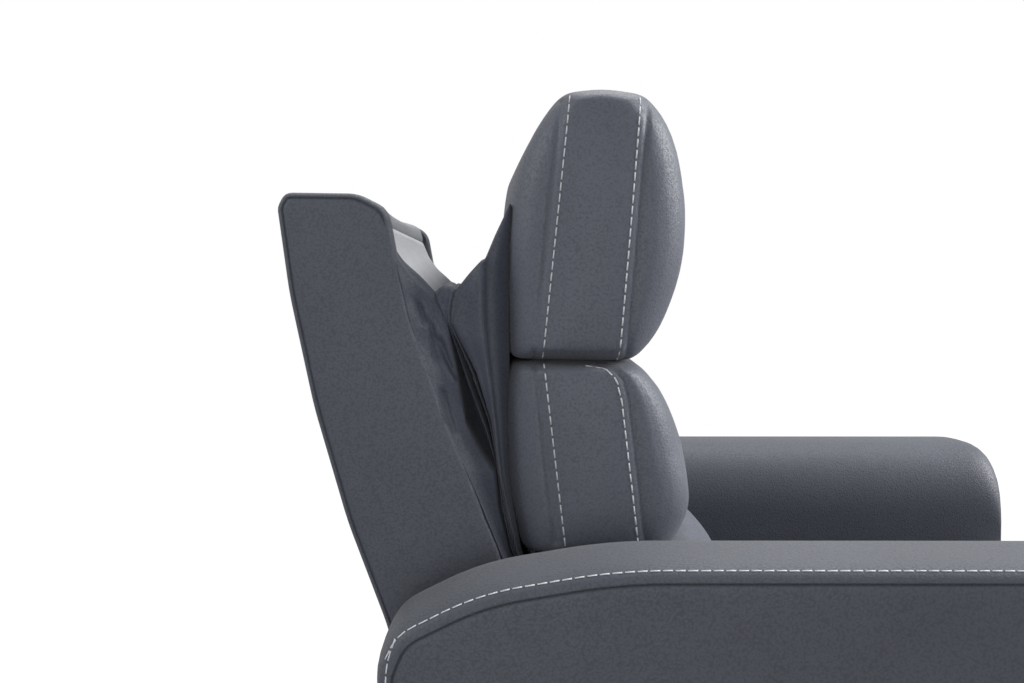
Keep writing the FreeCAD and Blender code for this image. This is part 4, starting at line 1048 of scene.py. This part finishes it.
WORLD_LIGHT = 0.34
FLOOR_REACH, FLOOR_GLOW, FLOOR_WHITE = 6, 1.13, 0.9
# Name, place, target, size and watts
SOFTBOXES = [
    ("top_softbox", (0.8, -0.4, 3.1), (0.0, 0.1, 0.7), 2.2, 43),
    ("front_softbox", (0.1, -3.0, 2.3), (0.0, 0.0, 0.8), 1.8, 160),
    ("side_fill", (-3.0, 0.3, 0.85), (0.0, 0.1, 0.8), 1.2, 18),
    ("rear_softbox", (-0.9, 2.8, 2.3), (0.0, 0.3, 0.9), 1.6, 36),
]
SENSOR, FOCAL_PIXELS, FRAME_PIXELS = 36.0, 1200, 1024
CAMERA_PLACE, CAMERA_TURN, CAMERA_DIP = (-1.360, 0.2315, 0.868), math.radians(0.19), math.radians(2.6)


def studio_world():
    """White where the camera sees it, a plain light level for the object."""
    world = bpy.data.worlds.new("studio")
    bpy.context.scene.world = world
    world.use_nodes = True
    tree = world.node_tree
    background = tree.nodes["Background"]
    background.inputs["Color"].default_value = (1, 1, 1, 1)
    seen = node(tree, "ShaderNodeLightPath").outputs["Is Camera Ray"]
    tree.links.new(remap(tree, seen, (WORLD_LIGHT, 1.0)), background.inputs["Strength"])


def studio_floor():
    """Pale floor that keeps a faint shadow."""
    material, tree, shader = new_material("studio_floor")
    shader.inputs["Base Color"].default_value = (0.32, 0.32, 0.33, 1)
    shader.inputs["Roughness"].default_value = 0.9
    seen = node(tree, "ShaderNodeLightPath").outputs["Is Camera Ray"]
    fade = node(tree, "ShaderNodeMath", [(0, seen)], operation="MULTIPLY")
    fade.inputs[1].default_value = FLOOR_WHITE
    white = node(tree, "ShaderNodeEmission", Strength=FLOOR_GLOW)
    mix = node(tree, "ShaderNodeMixShader",
               [(0, fade.outputs[0]), (1, shader.outputs[0]), (2, white.outputs[0])])
    tree.links.new(mix.outputs[0], tree.nodes["Material Output"].inputs["Surface"])
    mesh = bpy.data.meshes.new("studio_floor")
    corners = [(x * FLOOR_REACH, y * FLOOR_REACH, 0) for x, y in ((-1, -1), (1, -1), (1, 1), (-1, 1))]
    mesh.from_pydata(corners, [], [(0, 1, 2, 3)])
    mesh.materials.append(material)
    floor = bpy.data.objects.new("studio_floor", mesh)
    bpy.context.scene.collection.objects.link(floor)


def soft_light(name, place, target, size, watts):
    lamp = bpy.data.lights.new(name, "AREA")
    lamp.energy = watts
    lamp.size = size
    holder = bpy.data.objects.new(name, lamp)
    holder.location = place
    holder.rotation_euler = (Vector(target) - Vector(place)).to_track_quat("-Z", "Y").to_euler()
    bpy.context.scene.collection.objects.link(holder)


def set_camera():
    lens = bpy.data.cameras.new("camera")
    lens.sensor_width = SENSOR
    lens.lens = SENSOR * FOCAL_PIXELS / FRAME_PIXELS
    lens.clip_start = 0.02
    camera = bpy.data.objects.new("camera", lens)
    camera.location = CAMERA_PLACE
    heading = Vector((math.cos(CAMERA_TURN), math.sin(CAMERA_TURN), -math.tan(CAMERA_DIP)))
    camera.rotation_euler = heading.to_track_quat("-Z", "Y").to_euler()
    bpy.context.scene.collection.objects.link(camera)
    bpy.context.scene.camera = camera


studio_world()
studio_floor()
for softbox in SOFTBOXES:
    soft_light(*softbox)
set_camera()
bpy.context.scene.view_settings.view_transform = "Standard"
